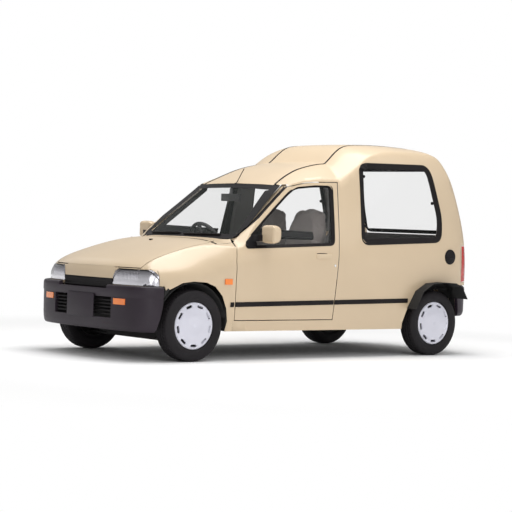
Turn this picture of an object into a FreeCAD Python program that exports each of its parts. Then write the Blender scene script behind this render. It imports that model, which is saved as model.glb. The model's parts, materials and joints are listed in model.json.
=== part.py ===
# Tall-roofed three-door kei van, modelled in millimetres.
# +X points forward, +Y to the left of the car and +Z up.
# The origin is on the ground, under the middle of the car's length and width.
import FreeCAD
import Part
import math
import os
from types import SimpleNamespace
from FreeCAD import Placement, Rotation, Vector

doc = FreeCAD.newDocument("KeiVan")

# Driving dimensions
sizes = {
    # Overall
    "overall_length": 3295, "overall_width": 1395, "overall_height": 1612, "wheelbase": 2335,
    "front_overhang": 497.5, "track_width": 1210,
    # Walls and clearances
    "door_wall": 72, "frame_wall": 42, "roof_wall": 30, "wing_wall": 6,
    "bonnet_wall": 22, "glass_thickness": 5, "shut_gap": 6, "seat_gap": 0.3, "pin_clearance": 0.05,
    "overrun": 60, "swing_gap": 8,
    # Heights of the body
    "sill_bottom": 208, "belt_height": 850, "frame_height": 960, "door_bottom": 284,
    "floor_bottom": 212, "floor_thickness": 18, "load_floor_height": 520,
    # Cabin
    "cabin_front": 848, "firewall_thickness": 14, "load_floor_front": -520,
    # Front structure
    "bay_half_width": 385, "apron_thickness": 10, "bay_front": 1430, "apron_top": 640,
    "tower_radius": 58, "tower_height": 704, "tower_plate": 8,
    # Wheel arches and wheelhouses
    "liner_radius": 292, "liner_thickness": 8, "rear_liner_inner": 486,
    # Wheels and tyres
    "tyre_radius": 250, "tyre_width": 145, "rim_radius": 152, "rim_width": 112, "rim_wall": 5,
    "cover_radius": 164, "cover_thickness": 5, "cover_hole_ring": 138, "cover_hole_length": 34,
    "cover_hole_width": 19, "hub_radius": 34, "stub_radius": 16, "stub_length": 52,
    "drum_radius": 98, "drum_length": 30, "tyre_shoulder": 26,
    # Front suspension and steering
    "kingpin_top_inset": 141, "kingpin_foot_inset": 40, "kingpin_foot_height": 178,
    "kingpin_radius": 8, "kingpin_length": 22, "strut_radius": 22, "strut_foot_inset": 108,
    "strut_foot_height": 318, "spring_radius": 46, "spring_foot_height": 524, "upright_height": 150,
    "upright_width": 74, "upright_depth": 36, "arm_pivot_y": 300, "arm_thickness": 14,
    "arm_width": 60,
    # Steering wheel and column
    "steering_x": 300, "steering_y": -300, "steering_z": 796, "steering_rake": 28,
    "steering_wheel_radius": 182, "steering_rim_radius": 14, "steering_hub_radius": 52,
    "steering_hub_depth": 46, "steering_spoke_width": 34, "steering_spoke_depth": 14,
    "column_radius": 26, "column_length": 290, "column_shaft_radius": 9,
    # Doors
    "door_front": 800, "door_rear": -155, "door_top": 1296, "hinge_pin_radius": 4, "hinge_low": 430,
    "hinge_high": 640,
    # Side windows
    "window_rail": 34, "window_corner": 40, "quarter_corner": 70,
    # Door mirrors
    "mirror_x": 540, "mirror_depth": 92, "mirror_inner": 668, "mirror_width": 150,
    "mirror_foot": 834, "mirror_height": 130, "mirror_round": 26, "mirror_arm_height": 46,
    "mirror_arm_depth": 52,
    # Bonnet
    "bonnet_rear": 903, "bonnet_edge": 520, "bonnet_front_height": 642, "bonnet_hinge_x": 878,
    "bonnet_hinge_z": 836, "bonnet_hinge_y": 470,
    # Tailgate
    "gate_foot": 560, "gate_top": 1528, "gate_half_width": 566, "gate_top_half_width": 512,
    "gate_glass_foot": 930, "gate_glass_rail": 62, "gate_hinge_y": 250, "gate_front_limit": -1150,
    # Bumpers
    "front_bumper_top": 518, "front_bumper_foot": 205, "front_bumper_dip": 490,
    "rear_bumper_top": 540, "rear_bumper_foot": 301, "bumper_wall": 34, "front_bumper_back": 1400,
    "rear_bumper_back": -1405,
    # Grilles
    "upper_grille_half": 295, "upper_grille_top": 560, "lower_grille_half": 348,
    "lower_grille_foot": 290, "lower_grille_top": 433, "slat_thickness": 9, "slat_depth": 26,
    # Lamps
    "lamp_inner": 298, "lamp_foot": 521, "lamp_top": 628, "lamp_depth": 96, "lamp_back": 1438,
    "signal_inner": 376, "signal_outer": 490, "signal_foot": 386, "signal_top": 427,
    "tail_lamp_foot": 572, "tail_lamp_top": 850, "tail_lamp_inner": 584, "tail_lamp_depth": 60,
    "marker_x": 869, "marker_z": 558, "marker_length": 64, "marker_height": 40, "marker_depth": 8,
    # Inside
    "seat_width": 455, "seat_y": 300, "seat_near_x": -230, "seat_far_x": -350, "seat_top": 1110,
    "seat_base": 360, "seat_cushion_length": 480, "seat_back_depth": 110, "dash_rear": 560,
    "dash_top": 845, "dash_foot": 520, "dash_half_width": 590, "inside_mirror_width": 210,
    "inside_mirror_height": 55, "inside_mirror_depth": 24,
    # Underneath
    "engine_length": 380, "engine_width": 520, "engine_height": 400, "engine_x": 1190,
    "axle_tube_radius": 28, "trailing_arm_length": 400, "trailing_arm_y": 430, "tank_length": 360,
    "tank_width": 620, "tank_height": 190, "tank_x": -760, "pipe_radius": 19, "silencer_radius": 70,
    "silencer_length": 290, "pipe_y": -150, "pipe_height": 190,
    # Filler cap
    "cap_x": -1325, "cap_z": 764, "cap_radius": 58,
    # Door opening and hinges
    "jamb_gap": 14, "jamb_depth": 14, "door_inner_limit": 200, "pillar_margin": 8, "pillar_top": 12,
    "pillar_foot": 58, "pillar_width": 46, "post_gap": 20, "post_top": 800, "hinge_back": 46,
    "hinge_y": 652, "hinge_pin_length": 64, "hinge_boss_radius": 7, "boss_gap": 2,
    "strap_height": 26, "strap_half": 5, "post_depth": 64, "strap_length": 124, "strap_angle": 52,
    "door_swing": 60, "sail_rear": 607, "glass_inset": 14, "screen_foot_x": 729,
    "screen_foot_z": 867, "screen_head_x": 241, "screen_head_z": 1256, "cowl_height": 852,
    "cowl_half_width": 565, "cowl_gap": 16, "ditch_width": 8, "lamp_gap": 3,
    "tail_lamp_front": -1490, "slat_inset": 8, "gate_hinge_inset": 8, "gate_hinge_rise": 5,
    "gate_sweep": 21, "door_sweep": 90, "gate_slot": 36, "gate_eye_radius": 8, "bonnet_slot": 30,
    "bonnet_eye_radius": 9, "upright_inset": 34, "web_offset": 10, "cover_recess": 4,
    "liner_foot": 250, "liner_outer": 640, "member_depth": 40, "member_foot": 232,
    "member_height": 90, "arm_foot": 128, "beam_height": 60, "tunnel_half": 90, "tunnel_top": 310,
    "seat_lean": 130, "inside_mirror_x": 332, "inside_mirror_z": 1160, "wiper_width": 14,
    "wiper_gap": 0.8, "cap_depth": 6, "axle_slot": 45, "panel_top": 620, "radiator_half": 240,
    "radiator_foot": 330, "radiator_top": 560, "bracket_y": 510, "header_foot": 1210,
    "header_front": 250, "pillar_rear": 205, "nose_stay_y": 120, "door_foot_step": 12,
    "door_cut_step": 4, "door_cut_height": 706, "door_lean": 22, "door_shoulder": 806,
    "pillar_overlap": 6, "pillar_head": 236, "door_rear_step": 34, "window_front": 700,
    "window_front_foot": 797, "window_head": 222, "screen_half": 500, "screen_foot_half": 575,
    "screen_head_half": 462, "screen_bow_half": 300, "screen_bow_rise": 6, "screen_top_rise": 10,
    "gate_shoulder": 1100, "gate_glass_shoulder": 1120, "bonnet_rear_half": 500,
    "bonnet_widest_front": 940, "bonnet_widest_rear": 1500, "bumper_reach": 1300,
    "door_opening_step": 3, "door_opening_rear": 60, "gate_depth": 1480, "gate_sill_depth": 1400,
    "lamp_bay_front": 1200, "nose_front": 1400, "cowl_front": 700, "dash_edge": 20,
    "dash_shelf": 180, "dash_lip": 40, "dash_lip_drop": 12, "dash_face_drop": 90, "dash_knee": 110,
    "dash_toe": 90, "seat_back_foot": 150, "seat_front_rise": 165, "wiper_near": -420,
    "wiper_near_end": -40, "wiper_far": 20, "wiper_far_end": 400, "bead_inset": 3, "wiper_rise": 14,
    "tail_pipe_end": -1625, "tail_pipe_radius": 17, "silencer_gap": 65,
}

sheet = doc.addObject("Spreadsheet::Sheet", "Sizes")
for row, (name, value) in enumerate(sizes.items(), start=1):
    sheet.set(f"A{row}", name)
    sheet.set(f"B{row}", str(value))
    sheet.setAlias(f"B{row}", name)
doc.recompute()
v = SimpleNamespace(**{name: float(sheet.get(name)) for name in sizes})

half_length = v.overall_length / 2
half_width = v.overall_width / 2
front_axle = half_length - v.front_overhang
rear_axle = front_axle - v.wheelbase
axle_height = v.tyre_radius
half_track = v.track_width / 2
reach = 2 * v.overall_length
parts = {}
corner_share = 0.45


# A smooth surface drawn along a net of control points
def spline_face(rows):
    degree = 3
    surface = Part.BSplineSurface()
    knots = [range(len(net) - degree + 1) for net in (rows, rows[0])]
    repeats = [[degree + 1] + [1] * (len(row) - 2) + [degree + 1] for row in knots]
    surface.buildFromPolesMultsKnots(rows, *repeats, *[list(row) for row in knots], False, False, degree,
                                     degree)
    return surface


# Half-widths of the body side, one row for each station from tail to nose,
# read from the sill up to the roof
side_station_shares = (-1.032, -0.910, -0.759, -0.486, -0.243, -0.103, 0.182,
                       0.395, 0.480, 0.571, 0.728, 0.880, 0.983, 1.044)
side_height_shares = (0.093, 0.186, 0.335, 0.385, 0.440, 0.496, 0.540, 0.620, 0.800, 0.900, 1.005)
side_width_shares = (
    (0.774, 0.803, 0.824, 0.829, 0.824, 0.817, 0.810, 0.789, 0.717, 0.645, 0.545),
    (0.875, 0.918, 0.939, 0.943, 0.946, 0.939, 0.932, 0.918, 0.867, 0.817, 0.674),
    (0.918, 0.953, 0.978, 0.984, 0.989, 0.989, 0.986, 0.978, 0.949, 0.918, 0.760),
    (0.925, 0.958, 0.984, 0.989, 0.999, 0.998, 0.995, 0.986, 0.961, 0.939, 0.803),
    (0.925, 0.958, 0.984, 0.989, 0.999, 0.996, 0.992, 0.981, 0.946, 0.918, 0.803),
    (0.925, 0.952, 0.978, 0.985, 0.995, 0.989, 0.978, 0.946, 0.846, 0.796, 0.746),
    (0.925, 0.952, 0.978, 0.985, 0.995, 0.984, 0.961, 0.896, 0.724, 0.631, 0.530),
    (0.925, 0.949, 0.975, 0.984, 0.992, 0.963, 0.918, 0.810, 0.588, 0.487, 0.401),
    (0.920, 0.946, 0.972, 0.982, 0.989, 0.932, 0.853, 0.731, 0.530, 0.430, 0.344),
    (0.918, 0.943, 0.969, 0.981, 0.978, 0.860, 0.746, 0.616, 0.430, 0.344, 0.287),
    (0.903, 0.935, 0.963, 0.975, 0.846, 0.695, 0.588, 0.459, 0.320, 0.300, 0.280),
    (0.860, 0.910, 0.946, 0.918, 0.724, 0.573, 0.473, 0.380, 0.320, 0.300, 0.280),
    (0.717, 0.803, 0.832, 0.803, 0.616, 0.473, 0.400, 0.350, 0.320, 0.300, 0.280),
    (0.602, 0.688, 0.717, 0.688, 0.516, 0.400, 0.350, 0.320, 0.300, 0.290, 0.280),
)

# Control lines over the car from the foot of the tail to the foot of the nose. Each has its place along
# the middle, how far it sweeps forward at the sides, and how far it drops at each column outward
column_width_shares = (0.000, 0.315, 0.487, 0.660, 0.803, 0.918, 1.047)
sweep_column_shares = (0.00, 0.10, 0.30, 0.62, 1.00, 1.42, 2.00)
level_drop_shares = (0.000, 0.000, 0.000, 0.000, 0.000, 0.000, 0.000)
box_drop_shares = (0.000, 0.001, 0.004, 0.013, 0.026, 0.052, 0.095)
brow_drop_shares = (0.000, 0.001, 0.004, 0.020, 0.040, 0.066, 0.105)
bonnet_drop_shares = (0.000, 0.001, 0.004, 0.009, 0.020, 0.036, 0.060)
top_line_shares = (
    (-0.966, 0.062, 0.024, level_drop_shares),
    (-0.970, 0.230, 0.024, level_drop_shares),
    (-0.971, 0.380, 0.023, level_drop_shares),
    (-0.964, 0.530, 0.023, level_drop_shares),
    (-0.941, 0.627, 0.023, level_drop_shares),
    (-0.907, 0.727, 0.023, level_drop_shares),
    (-0.858, 0.850, 0.023, (0.000, 0.000, 0.000, 0.001, 0.003, 0.006, 0.010)),
    (-0.806, 0.948, 0.024, (0.000, 0.000, 0.001, 0.006, 0.014, 0.028, 0.055)),
    (-0.768, 0.992, 0.024, box_drop_shares),
    (-0.650, 0.998, 0.000, box_drop_shares),
    (-0.510, 1.001, 0.000, box_drop_shares),
    (-0.390, 0.998, 0.000, box_drop_shares),
    (-0.310, 0.992, 0.000, brow_drop_shares),
    (-0.268, 0.976, 0.000, brow_drop_shares),
    (-0.225, 0.938, 0.010, (0.000, 0.001, 0.003, 0.020, 0.044, 0.074, 0.110)),
    (-0.193, 0.897, 0.046, (0.000, 0.001, 0.003, 0.026, 0.062, 0.094, 0.125)),
    (-0.177, 0.903, 0.048, (0.000, 0.002, 0.006, 0.038, 0.076, 0.104, 0.134)),
    (-0.132, 0.900, 0.030, (0.000, 0.002, 0.008, 0.038, 0.072, 0.102, 0.137)),
    (-0.066, 0.887, 0.008, (0.000, 0.002, 0.008, 0.032, 0.065, 0.094, 0.127)),
    (0.001, 0.870, 0.000, (0.000, 0.002, 0.008, 0.029, 0.056, 0.082, 0.113)),
    (0.066, 0.842, 0.000, (0.000, 0.002, 0.007, 0.023, 0.043, 0.064, 0.092)),
    (0.124, 0.813, -0.010, (0.000, 0.002, 0.006, 0.015, 0.028, 0.046, 0.070)),
    (0.183, 0.787, -0.036, (0.000, 0.001, 0.003, 0.006, 0.014, 0.028, 0.045)),
    (0.331, 0.659, -0.040, level_drop_shares),
    (0.466, 0.545, -0.040, (0.000, 0.000, 0.000, 0.000, 0.002, 0.006, 0.012)),
    (0.490, 0.529, -0.036, (0.000, 0.002, 0.003, 0.008, 0.018, 0.034, 0.056)),
    (0.548, 0.533, -0.006, bonnet_drop_shares),
    (0.640, 0.516, 0.000, bonnet_drop_shares),
    (0.740, 0.489, 0.000, bonnet_drop_shares),
    (0.868, 0.451, -0.006, bonnet_drop_shares),
    (0.934, 0.426, -0.026, (0.000, 0.001, 0.005, 0.013, 0.026, 0.042, 0.066)),
    (0.967, 0.400, -0.044, (0.000, 0.001, 0.005, 0.013, 0.026, 0.042, 0.066)),
    (0.975, 0.360, -0.046, (0.000, 0.000, 0.001, 0.003, 0.007, 0.012, 0.020)),
    (0.975, 0.290, -0.046, level_drop_shares),
    (0.968, 0.190, -0.046, level_drop_shares),
    (0.950, 0.062, -0.046, level_drop_shares),
)


# The wall thickens below the belt, where the doors and the sides are deep
def wall_at(height, low_wall, high_wall):
    if height <= v.belt_height:
        return low_wall
    if height >= v.frame_height:
        return high_wall
    share = (height - v.belt_height) / (v.frame_height - v.belt_height)
    return low_wall + (high_wall - low_wall) * share


# The net moved inward by a wall, with its edges kept in their own planes
def inset_net(net, wall):
    last_row = len(net) - 1
    last_column = len(net[0]) - 1
    moved = []
    for i, row in enumerate(net):
        moved.append([])
        for j, point in enumerate(row):
            along = net[min(i + 1, last_row)][j] - net[max(i - 1, 0)][j]
            across = net[i][min(j + 1, last_column)] - net[i][max(j - 1, 0)]
            inward = across.cross(along).normalize()
            place = point + inward * wall
            if i in (0, last_row):
                place.z = point.z
            if j in (0, last_column):
                place.y = point.y
            moved[-1].append(place)
    return moved


def top_net(wall):
    net = []
    for length, height, sweep, drops in top_line_shares:
        half = []
        for width, column_sweep, drop in zip(column_width_shares, sweep_column_shares, drops):
            half.append(Vector((length + sweep * column_sweep) * half_length, width * half_width,
                               (height - drop) * v.overall_height))
        net.append([Vector(point.x, -point.y, point.z) for point in reversed(half[1:])] + half)
    return inset_net(net, wall) if wall else net


def side_net(low_wall, high_wall):
    net = []
    for station, widths in zip(side_station_shares, side_width_shares):
        net.append([])
        for share, width in zip(side_height_shares, widths):
            height = share * v.overall_height
            inset = wall_at(height, low_wall, high_wall)
            net[-1].append(Vector(station * half_length, width * half_width - inset, height))
    return net


def solid_from(faces):
    shell = Part.Shell(faces)
    shell.sewShape()
    solid = Part.Solid(shell)
    if solid.Volume < 0:
        solid.reverse()
    return solid


def filled(edges):
    return Part.Face(Part.Wire(Part.__sortEdges__(edges)))


# Everything under the roof, the bonnet, the nose and the tail
def under_top(wall):
    net = top_net(wall)
    skin = spline_face(net).toShape()
    foot = net[0][0].z
    tail_edge = [edge for edge in skin.Edges if edge.BoundBox.ZMax < foot + v.shut_gap and edge.BoundBox.XMax < 0]
    nose_edge = [edge for edge in skin.Edges if edge.BoundBox.ZMax < foot + v.shut_gap and edge.BoundBox.XMin > 0]
    faces = [skin]
    base = tail_edge + nose_edge
    for column in (0, -1):
        straight = Part.makeLine(net[0][column], net[-1][column])
        edge = [edge for edge in skin.Edges
                if abs(edge.BoundBox.YMax - net[0][column].y) + abs(edge.BoundBox.YMin - net[0][column].y) < 1]
        faces.append(filled(edge + [straight]))
        base.append(straight)
    faces.append(filled(base))
    return solid_from(faces)


# The left half of the space between the body sides
def left_of_middle(low_wall, high_wall):
    net = side_net(low_wall, high_wall)
    skin = spline_face(net).toShape()
    faces = [skin]
    middle = []
    corners = {}
    for row in (0, -1):
        for column in (0, -1):
            point = net[row][column]
            corners[row, column] = Part.makeLine(point, Vector(point.x, 0, point.z))
    for row in (0, -1):
        station = net[row][0].x
        edges = [edge for edge in skin.Edges
                 if abs(edge.BoundBox.XMax - station) + abs(edge.BoundBox.XMin - station) < 1]
        straight = Part.makeLine(Vector(station, 0, net[0][0].z), Vector(station, 0, net[0][-1].z))
        middle.append(straight)
        faces.append(filled(edges + [corners[row, 0], corners[row, -1], straight]))
    for column in (0, -1):
        height = net[0][column].z
        edges = [edge for edge in skin.Edges
                 if abs(edge.BoundBox.ZMax - height) + abs(edge.BoundBox.ZMin - height) < 1]
        straight = Part.makeLine(Vector(net[0][0].x, 0, height), Vector(net[-1][0].x, 0, height))
        middle.append(straight)
        faces.append(filled(edges + [corners[0, column], corners[-1, column], straight]))
    faces.append(filled(middle))
    return solid_from(faces)


def block(x_low, x_high, y_low, y_high, z_low, z_high):
    return Part.makeBox(x_high - x_low, y_high - y_low, z_high - z_low, Vector(x_low, y_low, z_low))


def rod(start, end, radius):
    along = end - start
    return Part.makeCylinder(radius, along.Length, start, along)


def mirror_y(shape):
    return shape.mirror(Vector(0, 0, 0), Vector(0, 1, 0))


def joined(*shapes):
    first, *rest = shapes
    return first.multiFuse(rest).removeSplitter()


# Both halves of a piece that crosses the middle of the car
def whole(half):
    return half.fuse(mirror_y(half)).removeSplitter()


def pair(left):
    return Part.makeCompound([left, mirror_y(left)])


def largest(shape):
    return max(shape.Solids, key=lambda solid: solid.Volume)


# The part of a line along one axis that lies inside a solid, as its two ends
def span(solid, axis, first, second):
    places = {"x": (Vector(-reach, first, second), Vector(reach, first, second)),
              "y": (Vector(first, -reach, second), Vector(first, reach, second)),
              "z": (Vector(first, second, -reach), Vector(first, second, reach))}
    inside = Part.makeLine(*places[axis]).common(solid)
    ends = [getattr(vertex.Point, axis) for vertex in inside.Vertexes]
    return min(ends), max(ends)


# A closed outline with each corner rounded as far as its two sides allow
def rounded(points, radius):
    lines = []
    ends = []
    for index, corner in enumerate(points):
        before = points[index - 1] - corner
        after = points[(index + 1) % len(points)] - corner
        room = min(before.Length, after.Length) * corner_share
        half_angle = before.getAngle(after) / 2
        back = min(radius / math.tan(half_angle), room)
        start = corner + before.normalize() * back
        end = corner + after.normalize() * back
        toward = (before + after).normalize()
        depth = back / math.cos(half_angle) - back * math.tan(half_angle)
        lines.append(Part.Arc(start, corner + toward * depth, end).toShape())
        ends.append((start, end))
    for index, (start, end) in enumerate(ends):
        lines.append(Part.makeLine(ends[index - 1][1], start))
    return Part.Wire(Part.__sortEdges__(lines))


# Prisms with a given outline: across the car, upward, and along the car
def prism(points, place, along, radius, grow):
    corners = [place(*point) for point in points]
    wire = rounded(corners, radius) if radius else Part.makePolygon(corners + corners[:1])
    if grow:
        wire = wire.makeOffset2D(grow, join=2)
    return Part.Face(wire).extrude(along)


def side_prism(points, y_low, y_high, radius=0, grow=0):
    return prism(points, lambda x, z: Vector(x, y_low, z), Vector(0, y_high - y_low, 0), radius, grow)


def plan_prism(points, z_low, z_high, radius=0, grow=0):
    return prism(points, lambda x, y: Vector(x, y, z_low), Vector(0, 0, z_high - z_low), radius, grow)


def end_prism(points, x_low, x_high, radius=0, grow=0):
    return prism(points, lambda y, z: Vector(x_low, y, z), Vector(x_high - x_low, 0, 0), radius, grow)


# An upright prism whose outline is a smooth curve from a side of the car to its middle
def bumper_prism(points, back, z_low, z_high, inset):
    poles = [Vector(x - math.copysign(inset, x), y - inset if y else 0, z_low) for x, y in points]
    poles[0].x = points[0][0]
    curve = Part.BSplineCurve()
    spans = len(poles) - 3
    curve.buildFromPolesMultsKnots(poles, [4] + [1] * (spans - 1) + [4], list(range(spans + 1)), False, 3)
    corner = Vector(back, 0, z_low)
    side = Vector(back, poles[0].y, z_low)
    lines = [curve.toShape(), Part.makeLine(poles[-1], corner), Part.makeLine(corner, side),
             Part.makeLine(side, poles[0])]
    return Part.Face(Part.Wire(lines)).extrude(Vector(0, 0, z_high - z_low))


def keep(node, shape):
    feature = doc.addObject("Part::Feature", node)
    feature.Shape = shape
    feature.Label = node
    parts[node] = feature


# The outer body and the rooms inside it, as left halves
far = half_width + v.overrun
outer = under_top(0).common(left_of_middle(0, 0))
sides_room = left_of_middle(v.door_wall, v.frame_wall)
roof_room = under_top(v.roof_wall)
cabin_room = roof_room.common(sides_room).common(block(-reach, v.cabin_front, -far, far, -far, reach))
cabin_skin = outer.cut(cabin_room)
wing_room = under_top(v.wing_wall).common(left_of_middle(v.wing_wall, v.wing_wall))
wing_skin = outer.cut(wing_room)
seat_room = left_of_middle(v.door_wall + v.seat_gap, v.frame_wall + v.seat_gap)
bonnet_skin = outer.cut(under_top(v.bonnet_wall))
behind_skin = left_of_middle(v.jamb_depth, v.jamb_depth)

# The side edge of the windscreen, seen from the side, and lines parallel to it
screen_foot_x = v.screen_foot_x
screen_slope = (v.screen_head_z - v.screen_foot_z) / (v.screen_head_x - v.screen_foot_x)


def pillar_height(x, margin):
    return v.screen_foot_z + (x - v.screen_foot_x) * screen_slope - margin * math.hypot(1, screen_slope)


# Outlines of openings and seams, every number a share of the tyre's radius
door_head_shares = (
    (0.76, 5.024), (0.36, 5.12), (0, 5.164))
window_head_shares = (
    (0.6, 5), (0, 5.072), (-0.58, 5.084), (-0.428, 3.336))
quarter_shares = (
    (-1.528, 3.384), (-4.86, 3.528), (-4.896, 4.24), (-4.392, 5.836), (-1.552, 5.776))
seam_shares = (
    (1.32, -0.24), (1.32, 1.72), (1.048, 1.656), (0.6, 1.504), (0.08, 1.4), (-1.216, 1.328), (-1.76,
    1.288), (-6.8, 1.288), (-6.8, -0.24))
screen_plan_shares = (
    (0, -0.24), (3.192, -0.24), (3.188, 0.48), (3.156, 1.04), (3.072, 1.8), (2.94, 2.32), (2.94,
    2.8), (0, 2.8))
bonnet_nose_shares = (
    (6.48, 1.96), (6.8, 1.68), (6.8, -0.24))
front_arch_shares = (
    (3.472, -0.24), (3.472, 0.84), (3.408, 1.116), (3.476, 1.472), (3.644, 1.824), (3.904, 2.088),
    (4.232, 2.204), (4.672, 2.228), (5.036, 2.184), (5.432, 1.996), (5.656, 1.668), (5.76, 1.2),
    (5.88, 0.832), (5.88, -0.24))
rear_arch_shares = (
    (-3.384, -0.24), (-3.408, 1.028), (-3.56, 1.456), (-3.856, 1.988), (-4.268, 2.22), (-4.772,
    2.26), (-5.248, 2.24), (-5.52, 2.12), (-5.76, 1.76), (-5.848, 1.204), (-5.88, -0.24))
front_bumper_shares = (
    (5.6, 2.688), (5.96, 2.672), (6.328, 2.48), (6.52, 1.92), (6.59, 0.96), (6.59, 0))
rear_bumper_shares = (
    (-5.62, 2.672), (-6, 2.656), (-6.352, 2.488), (-6.536, 1.84), (-6.59, 0.92), (-6.59, 0))


def in_radii(shares):
    return tuple((across * v.tyre_radius, up * v.tyre_radius) for across, up in shares)


door_pillar_foot = v.screen_foot_x + v.pillar_overlap
door_outline = (
    (v.door_front - v.door_foot_step, v.door_bottom), (v.door_front, 2 * v.door_bottom),
    (v.door_front + v.door_cut_step, v.door_cut_height), (v.door_front - v.door_lean, v.door_shoulder),
    (door_pillar_foot, pillar_height(door_pillar_foot, v.pillar_margin)),
    (v.pillar_head, pillar_height(v.pillar_head, v.pillar_margin)), *in_radii(door_head_shares),
    (v.door_rear - v.door_rear_step, v.door_top), (v.door_rear, v.belt_height),
    (v.door_rear + v.door_lean, v.door_bottom))
window_margin = v.pillar_margin + v.window_rail
window_outline = (
    (v.window_front, v.window_front_foot), (v.window_front, pillar_height(v.window_front, window_margin)),
    (v.window_head, pillar_height(v.window_head, window_margin)), *in_radii(window_head_shares))
screen_outline = (
    (-v.overrun, v.cowl_height), (v.screen_half, v.cowl_height), (v.screen_foot_half, v.screen_foot_z),
    (v.screen_head_half, v.screen_head_z), (v.screen_bow_half, v.screen_head_z + v.screen_bow_rise),
    (-v.overrun, v.screen_head_z + v.screen_top_rise))
gate_outline = (
    (-v.overrun, v.gate_foot), (v.gate_half_width, v.gate_foot), (v.gate_half_width, v.gate_shoulder),
    (v.gate_top_half_width, v.gate_top), (-v.overrun, v.gate_top))
gate_glass_half = v.gate_half_width - v.gate_glass_rail
gate_window_outline = (
    (-v.overrun, v.gate_glass_foot), (gate_glass_half, v.gate_glass_foot),
    (gate_glass_half, v.gate_glass_shoulder),
    (v.gate_top_half_width - v.gate_glass_rail, v.gate_top - v.gate_glass_rail),
    (-v.overrun, v.gate_top - v.gate_glass_rail))
bonnet_outline = (
    (v.bonnet_rear, -v.overrun), (v.bonnet_rear, v.bonnet_rear_half),
    (v.bonnet_widest_front, v.bonnet_edge),
    (v.bonnet_widest_rear, v.bonnet_edge), *in_radii(bonnet_nose_shares))

door_prism = side_prism(door_outline, v.door_inner_limit, far, 0, -v.shut_gap / 2)
door_hole = side_prism(door_outline, v.door_inner_limit, far, 0, v.shut_gap / 2)
jamb_hole = side_prism(door_outline, v.door_inner_limit, far, 0, v.jamb_gap).common(behind_skin)
window_hole = side_prism(window_outline, 0, far, v.window_corner)
quarter_hole = side_prism(in_radii(quarter_shares), 0, far, v.quarter_corner)
screen_hole = end_prism(screen_outline, 0,
                        half_length).common(plan_prism(in_radii(screen_plan_shares), 0, reach))
gate_prism = end_prism(gate_outline, -reach, v.gate_front_limit, 0, -v.shut_gap / 2)
gate_hole = end_prism(gate_outline, -reach, v.gate_front_limit, 0, v.shut_gap / 2)
gate_window = end_prism(gate_window_outline, -reach, v.gate_front_limit)
seam_prism = plan_prism(in_radii(seam_shares), v.belt_height, reach, 0, -v.ditch_width / 2)
seam_hole = plan_prism(in_radii(seam_shares), v.belt_height, reach, 0, v.ditch_width / 2)
front_arch = side_prism(in_radii(front_arch_shares), v.bay_half_width, far)
rear_arch = side_prism(in_radii(rear_arch_shares), v.rear_liner_inner, far)

# Bumpers, each an upright shell round an end of the car
front_bumper_line = in_radii(front_bumper_shares)
rear_bumper_line = in_radii(rear_bumper_shares)
front_outer = bumper_prism(front_bumper_line, v.bumper_reach, v.front_bumper_foot, v.front_bumper_top, 0)
front_inner = bumper_prism(front_bumper_line, v.bumper_reach, v.front_bumper_foot, v.front_bumper_top,
                           v.bumper_wall)
rear_outer = bumper_prism(rear_bumper_line, -v.bumper_reach, v.rear_bumper_foot, v.rear_bumper_top, 0)
rear_inner = bumper_prism(rear_bumper_line, -v.bumper_reach, v.rear_bumper_foot, v.rear_bumper_top,
                          v.bumper_wall)
seat_wall = v.bumper_wall + v.seat_gap
front_seat = bumper_prism(front_bumper_line, v.bumper_reach, v.sill_bottom - v.overrun, reach, seat_wall)
rear_seat = bumper_prism(rear_bumper_line, -v.bumper_reach, v.sill_bottom - v.overrun, reach, seat_wall)
front_bumper_zone = block(v.front_bumper_back - v.lamp_gap, reach, 0, far, 0,
                          v.front_bumper_top + v.lamp_gap).cut(front_seat)
rear_bumper_zone = block(-reach, v.rear_bumper_back + v.lamp_gap, 0, far, v.rear_bumper_foot - v.overrun,
                         v.rear_bumper_top + v.lamp_gap).cut(rear_seat)


def make_bumpers():
    front = front_outer.cut(front_inner).cut(front_arch).common(block(v.front_bumper_back, reach, 0, far,
                                                                      0, reach))
    front = front.cut(block(0, reach, 0, v.lower_grille_half, v.lower_grille_foot, v.lower_grille_top))
    front = front.cut(block(0, reach, 0, v.upper_grille_half, v.front_bumper_dip, reach))
    front = front.cut(block(0, reach, v.signal_inner, v.signal_outer, v.signal_foot, v.signal_top))
    keep("front_bumper", whole(largest(front)))
    rear = rear_outer.cut(rear_inner).cut(rear_arch).common(block(-reach, v.rear_bumper_back, 0, far, 0,
                                                                  reach))
    keep("rear_bumper", whole(largest(rear)))
    signal_zone = block(0, reach, v.signal_inner, v.signal_outer, v.signal_foot, v.signal_top)
    signal = front_outer.cut(front_inner).common(signal_zone)
    marker_face = span(outer, "y", v.marker_x, v.marker_z)[1]
    marker = block(v.marker_x - v.marker_length / 2, v.marker_x + v.marker_length / 2,
                   marker_face, marker_face + v.marker_depth,
                   v.marker_z - v.marker_height / 2, v.marker_z + v.marker_height / 2)
    both = [signal, marker.cut(outer)]
    keep("turn_signals", Part.makeCompound(both + [mirror_y(shape) for shape in both]))


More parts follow.
